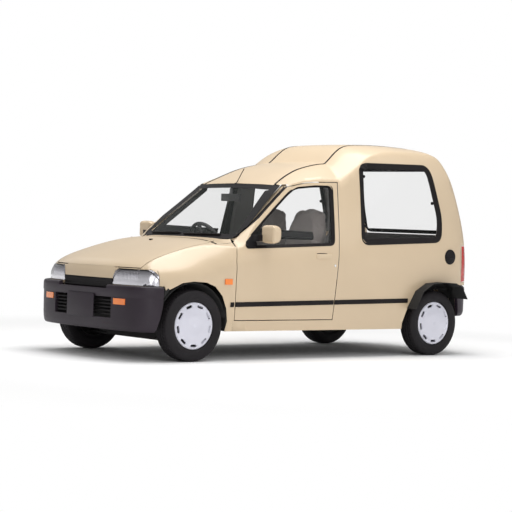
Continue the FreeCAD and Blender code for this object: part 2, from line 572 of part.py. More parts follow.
def make_grille():
    slats = []
    inner_face = half_length - v.bumper_wall + v.slat_inset
    room = v.lower_grille_top - v.lower_grille_foot
    for count in range(5):
        middle = v.lower_grille_foot + room * (count + 1) / 6
        slats.append(block(inner_face - v.slat_depth, inner_face, -v.lower_grille_half, v.lower_grille_half,
                           middle - v.slat_thickness / 2, middle + v.slat_thickness / 2))
    upper_face = span(outer, "x", 0, v.upper_grille_top - v.shut_gap)[1]
    back = block(upper_face - v.slat_depth, upper_face - v.slat_depth / 2,
                 -v.upper_grille_half, v.upper_grille_half, v.front_bumper_dip, v.upper_grille_top)
    bars = []
    for count in range(3):
        middle = v.front_bumper_dip + (v.upper_grille_top - v.front_bumper_dip) * (2 * count + 1) / 6
        bars.append(block(upper_face - v.slat_depth, upper_face - v.slat_thickness,
                          -v.upper_grille_half, v.upper_grille_half,
                          middle - v.slat_thickness / 2, middle + v.slat_thickness / 2))
    keep("grille", Part.makeCompound(slats + [joined(back, *bars)]))


# A pivot pin on a strap from the body, and the room that they need inside the door
def door_hinge(height):
    centre = Vector(v.door_front - v.hinge_back, v.hinge_y, height)
    half = Vector(0, 0, v.hinge_pin_length / 2)
    pin = rod(centre - half, centre + half, v.hinge_pin_radius)
    strap_low = height - v.strap_height / 2
    pocket_low = strap_low - v.shut_gap
    pocket_height = v.strap_height + 2 * v.shut_gap

    def arm(angle, grow, low, tall):
        bar = Part.makeBox(v.strap_length, 2 * (v.strap_half + grow), tall,
                           Vector(0, -v.strap_half - grow, 0))
        bar.rotate(Vector(0, 0, 0), Vector(0, 0, 1), angle)
        bar.translate(Vector(centre.x, centre.y, low))
        return bar

    boss = Part.makeCylinder(v.hinge_boss_radius, v.strap_height, Vector(centre.x, centre.y, strap_low))
    sector = Part.makeCylinder(v.strap_length, pocket_height, Vector(centre.x, centre.y, pocket_low),
                               Vector(0, 0, 1), v.door_swing)
    sector.rotate(centre, Vector(0, 0, 1), -v.strap_angle)
    eye = Part.makeCylinder(v.hinge_boss_radius + v.boss_gap, pocket_height,
                            Vector(centre.x, centre.y, pocket_low))
    bore = rod(centre - 2 * half, centre + 2 * half, v.hinge_pin_radius + v.pin_clearance)
    closed = arm(-v.strap_angle, v.boss_gap, pocket_low, pocket_height)
    opened = arm(v.door_swing - v.strap_angle, v.boss_gap, pocket_low, pocket_height)
    return joined(pin, boss, arm(-v.strap_angle, 0, strap_low, v.strap_height)), joined(sector, eye, bore,
                                                                                        closed, opened)


hinges = [door_hinge(height) for height in (v.hinge_low, v.hinge_high)]


def make_doors():
    door = outer.common(door_prism).cut(sides_room).cut(window_hole)
    door = largest(door)
    for carried, hollow in hinges:
        door = door.cut(hollow)
    door = largest(door)
    pane = left_of_middle(v.glass_inset, v.glass_inset).cut(
        left_of_middle(v.glass_inset + v.glass_thickness, v.glass_inset + v.glass_thickness))
    sail_zone = block(v.sail_rear, reach, 0, far, 0, reach)
    glass = largest(outer.common(window_hole).common(pane).cut(sail_zone))
    sail = outer.common(window_hole).common(sail_zone).cut(
        left_of_middle(v.glass_inset + v.glass_thickness, v.glass_inset + v.glass_thickness))
    housing = block(v.mirror_x - v.mirror_depth / 2, v.mirror_x + v.mirror_depth / 2, v.mirror_inner,
                    v.mirror_inner + v.mirror_width, v.mirror_foot, v.mirror_foot + v.mirror_height)
    housing = housing.makeFillet(v.mirror_round, housing.Edges)
    arm_foot = v.mirror_foot + v.mirror_round / 2
    arm = block(v.mirror_x - v.mirror_arm_depth / 2, v.sail_rear + v.mirror_arm_depth / 2,
                v.mirror_inner - v.mirror_arm_depth, v.mirror_inner + v.mirror_round,
                arm_foot, arm_foot + v.mirror_arm_height)
    arm = arm.cut(left_of_middle(0, 0))
    mirror = joined(largest(sail), arm, housing)
    for side, place in (("left", lambda shape: shape), ("right", mirror_y)):
        keep(f"door_{side}", place(door))
        keep(f"door_glass_{side}", place(glass))
        keep(f"door_mirror_{side}", place(largest(mirror)))


def make_side_frames():
    post_room = under_top(v.wing_wall + v.seat_gap).common(
        left_of_middle(v.wing_wall + v.seat_gap, v.wing_wall + v.seat_gap))
    region = side_prism(
        ((v.door_front + v.door_opening_step, v.sill_bottom),
         (v.door_front + v.door_opening_step, v.door_bottom),
         (v.door_rear + v.door_opening_rear, v.door_bottom),
         (v.door_rear + v.door_opening_rear, v.header_foot), (v.header_front, v.header_foot),
         (v.header_front, reach), (-reach, reach),
         (-reach, v.sill_bottom)), 0, far)
    frame = cabin_skin.common(region)
    for hole in (door_hole, jamb_hole, quarter_hole, screen_hole, gate_hole, seam_hole, rear_arch,
                 rear_bumper_zone):
        frame = frame.cut(hole)
    frame = frame.cut(block(-reach, -v.gate_depth, -far, v.gate_half_width, 0,
                            v.gate_foot + v.shut_gap / 2))
    frame = frame.cut(block(-reach, -v.gate_sill_depth, -far, far, 0, v.rear_bumper_foot))
    frame = frame.cut(block(-reach, v.tail_lamp_front, v.tail_lamp_inner - v.lamp_gap, far,
                            v.tail_lamp_foot - v.lamp_gap, v.tail_lamp_top + v.lamp_gap))
    frame = largest(frame)
    pillar = side_prism(
        ((v.cabin_front, pillar_height(v.cabin_front, v.pillar_top)),
         (v.pillar_rear, pillar_height(v.pillar_rear, v.pillar_top)),
         (v.pillar_rear, pillar_height(v.pillar_rear, v.pillar_foot)),
         (v.cabin_front, pillar_height(v.cabin_front, v.pillar_foot))), 0, far)
    pillar = pillar.common(left_of_middle(v.door_wall + v.swing_gap, v.frame_wall + v.swing_gap))
    pillar = pillar.cut(left_of_middle(v.door_wall + v.pillar_width, v.frame_wall + v.pillar_width))
    pillar = pillar.cut(seam_hole).cut(block(v.screen_foot_x, reach, 0, v.cowl_half_width, 0, reach))
    pillar = pillar.common(post_room)
    pillar = pillar.cut(Part.makeCylinder(v.door_sweep, reach,
                                          Vector(v.door_front - v.hinge_back, v.hinge_y, 0)))
    post = block(v.door_front + v.post_gap, v.cabin_front, 0, far,
                 v.floor_bottom + v.floor_thickness + v.seat_gap, v.post_top)
    post = post.common(outer).common(post_room).cut(left_of_middle(v.door_wall + v.post_depth,
                                                                   v.door_wall + v.post_depth))
    straps = [carried for carried, hollow in hinges]
    sill = block(v.door_front - v.jamb_gap, v.cabin_front, 0, far, v.sill_bottom,
                 v.door_bottom - v.shut_gap)
    sill = sill.common(outer).common(post_room).cut(sides_room)
    frame = joined(frame, pillar, post, sill, *straps)
    for side, place in (("left", lambda shape: shape), ("right", mirror_y)):
        keep(f"side_frame_{side}", place(largest(frame)))
    pane = left_of_middle(v.glass_inset, v.glass_inset).cut(
        left_of_middle(v.glass_inset + v.glass_thickness, v.glass_inset + v.glass_thickness))
    keep("quarter_glass", pair(largest(outer.common(quarter_hole).common(pane))))
    lamp_zone = block(-reach, v.tail_lamp_front - v.seat_gap, v.tail_lamp_inner, far, v.tail_lamp_foot,
                      v.tail_lamp_top)
    lamp_room = under_top(v.tail_lamp_depth).common(left_of_middle(v.tail_lamp_depth, v.tail_lamp_depth))
    keep("tail_lamps", pair(largest(outer.common(lamp_zone).cut(lamp_room))))


def make_roof():
    roof = cabin_skin.common(seam_prism).cut(screen_hole).cut(gate_hole)
    roof = roof.common(block(-reach, v.cabin_front, 0, far, v.gate_top, reach).fuse(
        block(-v.belt_height, v.cabin_front, 0, far, v.screen_head_z - v.overrun, reach)))
    roof = whole(largest(roof))
    for side in (1, -1):
        centre = Vector(gate_axis.x, side * v.gate_hinge_y, gate_axis.z)
        roof = roof.cut(block(-reach, centre.x + v.gate_eye_radius + v.shut_gap, centre.y - v.gate_slot / 2,
                              centre.y + v.gate_slot / 2, 0, reach))
        roof = roof.fuse(rod(centre - Vector(0, v.gate_slot, 0), centre + Vector(0, v.gate_slot, 0),
                             v.hinge_pin_radius))
    keep("roof_panel", roof.removeSplitter())


gate_skin_x = span(outer, "x", v.gate_hinge_y, v.gate_top + v.shut_gap / 2)[0]
gate_axis = Vector(gate_skin_x + v.gate_hinge_inset, 0, v.gate_top + v.shut_gap / 2 + v.gate_hinge_rise)


def make_tailgate():
    gate = outer.cut(roof_room).common(gate_prism).cut(gate_window)
    gate = whole(largest(gate))
    hinge_line = Vector(0, far, 0)
    gate = gate.cut(rod(gate_axis - hinge_line, gate_axis + hinge_line, v.gate_sweep))
    for side in (1, -1):
        centre = Vector(gate_axis.x, side * v.gate_hinge_y, gate_axis.z)
        half = v.gate_slot / 2 - v.shut_gap
        eye = rod(centre - Vector(0, half, 0), centre + Vector(0, half, 0), v.gate_eye_radius)
        lug = block(centre.x - v.gate_eye_radius, centre.x + v.gate_eye_radius, centre.y - half,
                    centre.y + half,
                    v.gate_top - v.overrun, centre.z)
        bore = rod(centre - Vector(0, v.gate_slot, 0), centre + Vector(0, v.gate_slot, 0),
                   v.hinge_pin_radius + v.pin_clearance)
        gate = gate.fuse(lug.common(under_top(0))).fuse(eye).cut(bore)
    keep("tailgate", largest(gate.removeSplitter()))
    pane = under_top(v.glass_inset).cut(under_top(v.glass_inset + v.glass_thickness))
    keep("tailgate_glass", whole(largest(outer.common(gate_window).common(pane))))
    panel = outer.cut(roof_room).common(block(-reach, -v.gate_depth, -far, v.gate_half_width,
                                              v.rear_bumper_foot, v.gate_foot - v.shut_gap / 2))
    keep("rear_panel", whole(largest(panel.cut(rear_bumper_zone))))


bonnet_axis = Vector(v.bonnet_hinge_x, 0, v.bonnet_hinge_z)


def make_bonnet():
    hood = bonnet_skin.common(plan_prism(bonnet_outline, 0, reach, 0, -v.shut_gap / 2))
    hood = hood.common(block(v.bonnet_rear - v.overrun, reach, 0, far, v.bonnet_front_height, reach))
    hood = whole(largest(hood))
    for side in (1, -1):
        centre = Vector(bonnet_axis.x, side * v.bonnet_hinge_y, bonnet_axis.z)
        half = v.bonnet_slot / 2 - v.shut_gap
        eye = rod(centre - Vector(0, half, 0), centre + Vector(0, half, 0), v.bonnet_eye_radius)
        lug = block(centre.x, v.bonnet_rear + v.overrun, centre.y - half, centre.y + half,
                    centre.z - v.bonnet_eye_radius, centre.z + v.bonnet_eye_radius / 2)
        bore = rod(centre - Vector(0, v.bonnet_slot, 0), centre + Vector(0, v.bonnet_slot, 0),
                   v.hinge_pin_radius + v.pin_clearance)
        hood = hood.fuse(joined(eye, lug).common(whole(outer))).cut(bore)
    keep("bonnet", largest(hood.removeSplitter()))


headlamp_hole = block(v.lamp_back - v.lamp_gap, reach, v.lamp_inner - v.lamp_gap, far,
                      v.lamp_foot - v.lamp_gap, v.lamp_top + v.lamp_gap)


def make_front_panels():
    lamp_zone = block(v.lamp_back, reach, v.lamp_inner, far, v.lamp_foot, v.lamp_top)
    bonnet_hole = plan_prism(bonnet_outline, v.bonnet_front_height - v.shut_gap, reach, 0, v.shut_gap / 2)
    wing = wing_skin.common(block(v.screen_foot_x, reach, 0, far, v.door_bottom, reach).fuse(
        block(v.door_front + v.shut_gap / 2 + v.seat_gap, reach, 0, far, v.sill_bottom, v.door_bottom)))
    for hole in (bonnet_hole, block(0, v.bonnet_rear + v.shut_gap, 0, v.cowl_half_width,
                                    v.belt_height / 2, reach),
                 block(v.lamp_bay_front, reach, 0, v.lamp_inner, 0, v.bonnet_front_height),
                 headlamp_hole, front_bumper_zone, front_arch, door_hole, screen_hole):
        wing = wing.cut(hole)
    keep("front_wings", pair(largest(wing)))
    lamp_room = under_top(v.lamp_depth).common(left_of_middle(v.lamp_depth, v.lamp_depth))
    lamp = largest(outer.common(lamp_zone).cut(lamp_room))
    boss = block(v.bay_front + v.seat_gap, half_length - v.lamp_depth, v.lamp_inner + v.member_depth,
                 v.lamp_inner + 5 * v.member_depth, v.lamp_foot + v.shut_gap, v.lamp_top - v.shut_gap)
    keep("headlamps", pair(largest(lamp.fuse(boss.common(outer)).removeSplitter())))
    nose = bonnet_skin.common(block(v.nose_front, reach, 0, v.lamp_inner - v.lamp_gap, v.upper_grille_top,
                                    v.bonnet_front_height - v.shut_gap))
    keep("nose_panel", whole(largest(nose)))


def kingpin_point(height):
    foot_y = half_track - v.kingpin_foot_inset
    top_y = half_track - v.kingpin_top_inset
    share = (height - v.kingpin_foot_height) / (v.tower_height - v.kingpin_foot_height)
    return Vector(front_axle, foot_y + (top_y - foot_y) * share, height)


kingpin = kingpin_point(v.tower_height) - kingpin_point(v.kingpin_foot_height)
kingpin.normalize()


def make_front_frame():
    inside = under_top(v.bonnet_wall + v.swing_gap).common(
        left_of_middle(v.wing_wall + v.seat_gap, v.wing_wall + v.seat_gap))
    firewall = inside.common(block(v.cabin_front, v.cabin_front + v.firewall_thickness, 0, far,
                                   v.floor_bottom, reach))
    apron = block(v.cabin_front, v.bay_front, v.bay_half_width, v.bay_half_width + v.apron_thickness,
                  v.floor_bottom, v.apron_top)
    hub_line = Vector(front_axle, v.bay_half_width, axle_height)
    outside = Part.makeCylinder(v.liner_radius + v.liner_thickness, far, hub_line, Vector(0, 1, 0))
    hollow = Part.makeCylinder(v.liner_radius, far, hub_line + Vector(0, v.apron_thickness, 0),
                               Vector(0, 1, 0))
    liner_block = block(v.cabin_front, v.bay_front, v.bay_half_width, v.liner_outer, v.liner_foot, reach)
    liner = outside.common(liner_block).common(inside)
    tower = rod(kingpin_point(v.liner_foot + v.liner_radius), kingpin_point(v.tower_height), v.tower_radius)
    well = rod(kingpin_point(v.liner_foot), kingpin_point(v.tower_height - v.tower_plate),
               v.tower_radius - v.tower_plate)
    gusset = block(front_axle - v.tower_radius, front_axle + v.tower_radius, v.bay_half_width,
                   kingpin_point(v.tower_height).y, v.liner_foot + v.liner_radius,
                   v.tower_height - v.tower_plate)
    bore = rod(kingpin_point(v.tower_height) - kingpin * v.overrun,
               kingpin_point(v.tower_height) + kingpin * v.overrun,
               v.kingpin_radius + v.pin_clearance)
    member = block(v.bay_front - v.member_depth, v.bay_front, -v.overrun, v.bay_half_width,
                   v.member_foot, v.member_foot + v.member_height)
    beam = block(front_axle - v.arm_width, front_axle + v.arm_width, -v.overrun, v.arm_pivot_y,
                 v.arm_foot, v.arm_foot + v.beam_height)
    hanger = block(front_axle - v.arm_width, front_axle + v.arm_width, v.arm_pivot_y,
                   v.bay_half_width + v.apron_thickness, v.arm_foot + v.arm_thickness + v.shut_gap,
                   v.arm_foot + v.beam_height)
    hanger_side = block(front_axle - v.arm_width, front_axle + v.arm_width, v.bay_half_width,
                        v.bay_half_width + v.apron_thickness, v.arm_foot + v.arm_thickness, v.apron_top)
    panel = block(v.bay_front - v.apron_thickness, v.bay_front, 0, v.liner_outer, v.member_foot,
                  v.panel_top)
    panel = panel.common(inside).cut(block(0, reach, 0, v.radiator_half, v.radiator_foot, v.radiator_top))
    bracket = block(v.bay_front, reach, v.bracket_y, v.bracket_y + v.member_depth,
                    v.member_foot + v.member_height / 3, v.member_foot + v.member_height).common(front_seat)
    nose_stay = block(v.bay_front, reach, v.nose_stay_y, v.nose_stay_y + v.member_depth,
                      v.panel_top - v.apron_thickness,
                      v.panel_top).common(under_top(v.bonnet_wall + v.seat_gap))
    cowl = bonnet_skin.common(block(v.cowl_front, v.bonnet_rear - v.cowl_gap, 0,
                                    v.cowl_half_width - v.shut_gap,
                                    v.belt_height / 2, reach)).cut(screen_hole).cut(door_hole)
    cowl_edge = v.bonnet_rear - v.cowl_gap
    cowl_web = under_top(v.glass_thickness).common(block(v.cabin_front,
                                                         v.cabin_front + v.firewall_thickness, 0,
                                                         v.cowl_half_width - v.shut_gap,
                                                         v.belt_height / 2,
                                                         reach)).common(left_of_middle(v.wing_wall + v.seat_gap, v.wing_wall + v.seat_gap))
    left = joined(firewall, apron, liner, tower, gusset, member, beam, panel, bracket, nose_stay, hanger,
                  hanger_side, largest(cowl), cowl_web)
    left = left.cut(hollow.common(block(v.cabin_front + v.firewall_thickness, v.bay_front,
                                        v.bay_half_width + v.apron_thickness, far, 0, reach)))
    left = left.cut(well).cut(bore).cut(front_bumper_zone).cut(headlamp_hole)
    slot = block(v.bonnet_hinge_x - v.bonnet_eye_radius - v.shut_gap, cowl_edge + v.overrun,
                 v.bonnet_hinge_y - v.bonnet_slot / 2, v.bonnet_hinge_y + v.bonnet_slot / 2,
                 v.belt_height / 2 + v.overrun, reach)
    centre = Vector(bonnet_axis.x, v.bonnet_hinge_y, bonnet_axis.z)
    pin = rod(centre - Vector(0, v.bonnet_slot, 0), centre + Vector(0, v.bonnet_slot, 0),
              v.hinge_pin_radius)
    left = left.cut(slot).fuse(pin)
    left = left.common(block(-reach, reach, 0, far, -far, reach))
    keep("front_frame", whole(largest(left)))


def make_floor():
    floor = block(v.load_floor_front, v.cabin_front, 0, far, v.floor_bottom,
                  v.floor_bottom + v.floor_thickness)
    tunnel = block(v.load_floor_front, v.cabin_front, 0, v.tunnel_half, v.floor_bottom, v.tunnel_top)
    tunnel_room = block(v.load_floor_front - v.overrun, v.cabin_front + v.overrun, -v.overrun,
                        v.tunnel_half - v.floor_thickness, 0, v.tunnel_top - v.floor_thickness)
    riser = block(v.load_floor_front - v.floor_thickness, v.load_floor_front, 0, far,
                  v.floor_bottom, v.load_floor_height)
    load_floor = block(-half_length, v.load_floor_front, 0, far,
                       v.load_floor_height - v.floor_thickness, v.load_floor_height)
    hub_line = Vector(rear_axle, v.rear_liner_inner - v.liner_thickness, axle_height)
    house = Part.makeCylinder(v.liner_radius + v.liner_thickness, far, hub_line, Vector(0, 1, 0))
    hollow = Part.makeCylinder(v.liner_radius, far, hub_line + Vector(0, v.liner_thickness, 0),
                               Vector(0, 1, 0))
    house = house.common(block(-reach, 0, 0, far, v.liner_foot, reach))
    floor = joined(floor, riser, load_floor, house, tunnel).cut(hollow).cut(tunnel_room)
    floor = floor.cut(block(rear_axle - v.axle_slot, rear_axle + v.axle_slot, 0, far, 0,
                            axle_height + 2 * v.axle_slot))
    room = under_top(v.roof_wall + v.seat_gap).common(seat_room)
    floor = floor.common(room).cut(rear_arch)
    keep("floor_pan", whole(largest(floor)))


def make_knuckles():
    upright_y = half_track - v.upright_inset
    upright = block(front_axle - v.upright_width / 2, front_axle + v.upright_width / 2,
                    upright_y - v.upright_depth, upright_y,
                    v.kingpin_foot_height - v.kingpin_radius, axle_height + v.upright_height / 2)
    stub = rod(Vector(front_axle, upright_y, axle_height),
               Vector(front_axle, upright_y + v.stub_length, axle_height),
               v.stub_radius)
    strut_foot = Vector(front_axle, half_track - v.strut_foot_inset, v.strut_foot_height)
    strut = rod(strut_foot, kingpin_point(v.spring_foot_height), v.strut_radius)
    bracket = block(front_axle - v.strut_radius, front_axle + v.strut_radius, strut_foot.y - v.strut_radius,
                    upright_y - v.upright_depth / 2, axle_height, strut_foot.z + v.strut_radius)
    spring_top = kingpin_point(v.tower_height - v.tower_plate - v.swing_gap)
    spring = rod(kingpin_point(v.spring_foot_height), spring_top, v.spring_radius)
    top_pin = rod(spring_top, kingpin_point(v.tower_height + v.kingpin_length), v.kingpin_radius)
    boss = rod(kingpin_point(v.kingpin_foot_height),
               kingpin_point(v.kingpin_foot_height + v.kingpin_length * 2),
               2 * v.kingpin_radius)
    bore = rod(kingpin_point(v.kingpin_foot_height - v.overrun),
               kingpin_point(v.kingpin_foot_height + v.kingpin_length),
               v.kingpin_radius + v.pin_clearance)
    left = joined(upright, stub, strut, bracket, spring, top_pin, boss).cut(bore)
    keep("knuckle_left", left)
    keep("knuckle_right", mirror_y(left))
    foot = kingpin_point(v.kingpin_foot_height)
    arm = plan_prism(((front_axle - v.arm_width, v.arm_pivot_y), (front_axle + v.arm_width, v.arm_pivot_y),
                      (front_axle + 2 * v.kingpin_radius, foot.y + 2 * v.kingpin_radius),
                      (front_axle - 2 * v.kingpin_radius, foot.y + 2 * v.kingpin_radius)),
                     v.arm_foot, v.arm_foot + v.arm_thickness)
    pin = rod(kingpin_point(v.arm_foot + v.arm_thickness / 2),
              kingpin_point(v.kingpin_foot_height + v.kingpin_length - v.seat_gap), v.kingpin_radius)
    keep("lower_arms", pair(joined(arm, pin)))


def tyre_profile():
    half = v.tyre_width / 2
    rim_half = v.rim_width / 2
    side = v.tyre_radius - v.tyre_shoulder
    left = [(v.rim_radius + v.seat_gap, rim_half - v.bead_inset), (side, half - v.tyre_shoulder / 8),
            (v.tyre_radius, half - v.tyre_shoulder)]
    return left + [(radius, -width) for radius, width in reversed(left)]


def make_wheels():
    half = v.rim_width / 2
    hub_back = -v.upright_inset + v.swing_gap
    hub_end = hub_back + v.stub_length + v.swing_gap
    web_face = v.web_offset
    cover_face = v.tyre_width / 2 - v.cover_recess
    profile = [
        (v.hub_radius, hub_back), (v.hub_radius, web_face), (v.drum_radius, web_face),
        (v.drum_radius, web_face - v.drum_length), (v.drum_radius + v.rim_wall, web_face - v.drum_length),
        (v.drum_radius + v.rim_wall, web_face), (v.rim_radius - v.rim_wall, web_face),
        (v.rim_radius - v.rim_wall, -half), (v.rim_radius, -half), (v.rim_radius, half),
        (v.cover_radius, half), (v.cover_radius - v.cover_thickness, half + v.cover_thickness),
        (v.cover_hole_ring, cover_face - v.cover_thickness), (v.hub_radius * 2, cover_face),
        (0, cover_face - v.cover_thickness / 2), (0, cover_face - 2 * v.cover_thickness),
        (v.hub_radius * 2, cover_face - v.cover_thickness - v.rim_wall / 2),
        (v.rim_radius - v.rim_wall, half - v.cover_thickness),
        (v.rim_radius - v.rim_wall, web_face + v.rim_wall),
        (v.hub_radius, web_face + v.rim_wall), (v.hub_radius, hub_end + v.rim_wall),
        (0, hub_end + v.rim_wall),
        (0, hub_end), (v.stub_radius + v.pin_clearance, hub_end),
        (v.stub_radius + v.pin_clearance, hub_back)]
    for end, axle in (("front", front_axle), ("rear", rear_axle)):
        for side, sign in (("left", 1), ("right", -1)):
            middle = Vector(axle, sign * half_track, axle_height)
            wheel = Part.makePolygon([Vector(radius, width, 0) for radius, width in profile + profile[:1]])
            wheel = Part.Face(wheel).revolve(Vector(0, 0, 0), Vector(0, 1, 0), 360)
            for count in range(9):
                slot = Part.makeCylinder(v.cover_hole_width / 2, v.tyre_width,
                                         Vector(v.cover_hole_length / 2, 0, 0), Vector(0, 1, 0))
                slot = slot.fuse(Part.makeCylinder(v.cover_hole_width / 2, v.tyre_width,
                                                   Vector(-v.cover_hole_length / 2, 0, 0), Vector(0, 1, 0)))
                slot = slot.fuse(block(-v.cover_hole_length / 2, v.cover_hole_length / 2, 0, v.tyre_width,
                                       -v.cover_hole_width / 2, v.cover_hole_width / 2))
                slot.translate(Vector(0, web_face + v.rim_wall, -v.cover_hole_ring))
                slot.rotate(Vector(0, 0, 0), Vector(0, 1, 0), 40 * count)
                wheel = wheel.cut(slot)
            tyre = Part.makePolygon([Vector(radius, width, 0) for radius,
                                     width in tyre_profile() + tyre_profile()[:1]])
            tyre = Part.Face(tyre).revolve(Vector(0, 0, 0), Vector(0, 1, 0), 360)
            for kind, shape in (("wheel", wheel), ("tyre", tyre)):
                if shape.Volume < 0:
                    shape.reverse()
                if sign < 0:
                    shape = mirror_y(shape)
                shape.translate(middle)
                keep(f"{kind}_{end}_{side}", shape)


def make_rear_axle():
    stub_root = half_track - v.upright_inset
    tube = rod(Vector(rear_axle, 0, axle_height), Vector(rear_axle, stub_root, axle_height),
               v.axle_tube_radius)
    stub = rod(Vector(rear_axle, stub_root, axle_height),
               Vector(rear_axle, stub_root + v.stub_length, axle_height), v.stub_radius)
    front = rear_axle + v.trailing_arm_length
    arm = rod(Vector(rear_axle, v.trailing_arm_y, axle_height),
              Vector(front, v.trailing_arm_y, axle_height), v.strut_radius)
    under_floor = v.load_floor_height - v.floor_thickness
    bracket = block(front - v.strut_radius, front + v.strut_radius, v.trailing_arm_y - v.strut_radius,
                    v.trailing_arm_y + v.strut_radius, axle_height - v.strut_radius, under_floor)
    spring = rod(Vector(rear_axle, v.trailing_arm_y - v.strut_radius, axle_height),
                 Vector(rear_axle, v.trailing_arm_y - v.strut_radius, under_floor), v.spring_radius)
    keep("rear_axle", whole(joined(tube, stub, arm, bracket, spring)))


def make_underside():
    keep("engine_block", block(v.engine_x - v.engine_length / 2, v.engine_x + v.engine_length / 2,
                               -v.engine_width / 2, v.engine_width / 2,
                               v.arm_foot + v.beam_height, v.arm_foot + v.beam_height + v.engine_height))
    under_floor = v.load_floor_height - v.floor_thickness
    tank = block(v.tank_x - v.tank_length / 2, v.tank_x + v.tank_length / 2, -v.tank_width / 2,
                 v.tank_width / 2,
                 under_floor - v.tank_height, under_floor)
    keep("fuel_tank", tank.makeFillet(v.mirror_round,
                                      [edge for edge in tank.Edges if edge.CenterOfMass.z < under_floor - 1]))
    pipe_front = v.engine_x - v.engine_length / 2
    silencer_rear = rear_axle - v.silencer_gap - v.silencer_length
    pipe = rod(Vector(pipe_front, v.pipe_y, v.pipe_height),
               Vector(silencer_rear, v.pipe_y, v.pipe_height), v.pipe_radius)
    collector = block(pipe_front - 2 * v.pipe_radius, pipe_front, v.pipe_y - v.pipe_radius,
                      v.pipe_y + v.pipe_radius,
                      v.pipe_height, v.arm_foot + v.beam_height + 2 * v.pipe_radius)
    silencer = rod(Vector(silencer_rear, v.pipe_y, v.pipe_height + v.silencer_radius - v.pipe_radius),
                   Vector(silencer_rear + v.silencer_length, v.pipe_y,
                          v.pipe_height + v.silencer_radius - v.pipe_radius),
                   v.silencer_radius)
    hanger = block(silencer_rear + v.silencer_length / 2 - v.pipe_radius / 2,
                   silencer_rear + v.silencer_length / 2 + v.pipe_radius / 2,
                   v.pipe_y - v.pipe_radius / 2, v.pipe_y + v.pipe_radius / 2,
                   v.pipe_height + v.silencer_radius, under_floor)
    tail_height = v.pipe_height + v.silencer_radius - v.pipe_radius
    tail_pipe = rod(Vector(silencer_rear, v.pipe_y, tail_height),
                    Vector(v.tail_pipe_end, v.pipe_y, tail_height), v.tail_pipe_radius)
    keep("exhaust", joined(pipe, collector, silencer, hanger, tail_pipe))


def make_cabin_fittings():
    floor_top = v.floor_bottom + v.floor_thickness
    dash = side_prism(((v.cabin_front, v.dash_foot), (v.cabin_front, v.dash_top - v.dash_edge),
                       (v.dash_rear + v.dash_shelf, v.dash_top),
                       (v.dash_rear + v.dash_lip, v.dash_top - v.dash_lip_drop),
                       (v.dash_rear, v.dash_top - v.dash_face_drop),
                       (v.dash_rear + v.dash_edge, v.dash_foot + v.dash_knee),
                       (v.dash_rear + v.dash_toe, v.dash_foot)),
                      -v.dash_half_width, v.dash_half_width)
    rake = math.radians(v.steering_rake)
    toward = Vector(-math.cos(rake), 0, math.sin(rake))
    centre = Vector(v.steering_x, v.steering_y, v.steering_z)
    column_top = centre - toward * (v.steering_hub_depth + v.swing_gap)
    column = rod(column_top, column_top - toward * v.column_length, v.column_radius)
    shaft_end = column_top - toward * v.column_length / 4
    column = column.cut(rod(centre, shaft_end, v.column_shaft_radius + v.pin_clearance))
    dash = dash.cut(rod(centre, column_top - toward * v.column_length, v.column_radius))
    dash_room = under_top(v.bonnet_wall + v.swing_gap).common(
        left_of_middle(v.door_wall + v.post_depth + v.swing_gap, v.door_wall + v.post_depth + v.swing_gap))
    dash = dash.common(whole(dash_room))
    keep("dashboard", largest(dash))
    keep("steering_column", column)
    rim = Part.makeTorus(v.steering_wheel_radius, v.steering_rim_radius, centre, toward)
    hub = rod(centre - toward * v.steering_hub_depth, centre - toward * v.steering_rim_radius,
              v.steering_hub_radius)
    shaft = rod(centre - toward * v.steering_hub_depth, shaft_end + toward * v.swing_gap,
                v.column_shaft_radius)
    spoke = Part.makeBox(2 * v.steering_wheel_radius, v.steering_spoke_width, v.steering_spoke_depth,
                         Vector(-v.steering_wheel_radius, -v.steering_spoke_width / 2,
                                -v.steering_spoke_depth))
    spoke.rotate(Vector(0, 0, 0), Vector(0, 0, 1), 90)
    lower = Part.makeBox(v.steering_wheel_radius, v.steering_spoke_width, v.steering_spoke_depth,
                         Vector(0, -v.steering_spoke_width / 2, -v.steering_spoke_depth))
    spokes = joined(spoke, lower)
    spokes.rotate(Vector(0, 0, 0), Vector(0, 1, 0), v.steering_rake - 90)
    spokes.translate(centre - toward * v.steering_rim_radius / 2)
    keep("steering_wheel", joined(rim, hub, shaft, spokes))
    seats = []
    for y, x in ((v.seat_y, v.seat_near_x), (-v.seat_y, v.seat_far_x)):
        hip = x + v.seat_lean
        outline = ((x - v.seat_back_depth / 2, v.seat_top), (x + v.seat_back_depth / 2, v.seat_top),
                   (hip + v.seat_back_depth, v.seat_base + v.seat_back_foot),
                   (hip + v.seat_cushion_length, v.seat_base + v.seat_front_rise),
                   (hip + v.seat_cushion_length, v.seat_base), (hip - v.seat_back_depth / 2, v.seat_base))
        body = side_prism(outline, y - v.seat_width / 2, y + v.seat_width / 2)
        base = block(hip, hip + v.seat_cushion_length - v.overrun, y - v.seat_width / 2 + v.overrun,
                     y + v.seat_width / 2 - v.overrun, floor_top, v.seat_base)
        seats.append(joined(body, base))
    keep("front_seats", Part.makeCompound(seats))
    mirror_z = v.inside_mirror_z
    glass_room = whole(under_top(v.glass_thickness).common(block(-reach, reach, 0, far, 0, reach)))
    mirror = block(v.inside_mirror_x - v.inside_mirror_depth / 2,
                   v.inside_mirror_x + v.inside_mirror_depth / 2,
                   -v.inside_mirror_width / 2, v.inside_mirror_width / 2,
                   mirror_z - v.inside_mirror_height / 2, mirror_z + v.inside_mirror_height / 2)
    stem = block(v.inside_mirror_x - v.inside_mirror_depth / 4,
                 v.inside_mirror_x + v.inside_mirror_depth / 4,
                 -v.inside_mirror_depth / 2, v.inside_mirror_depth / 2, mirror_z,
                 mirror_z + reach).common(glass_room)
    keep("inside_mirror", joined(mirror, stem))


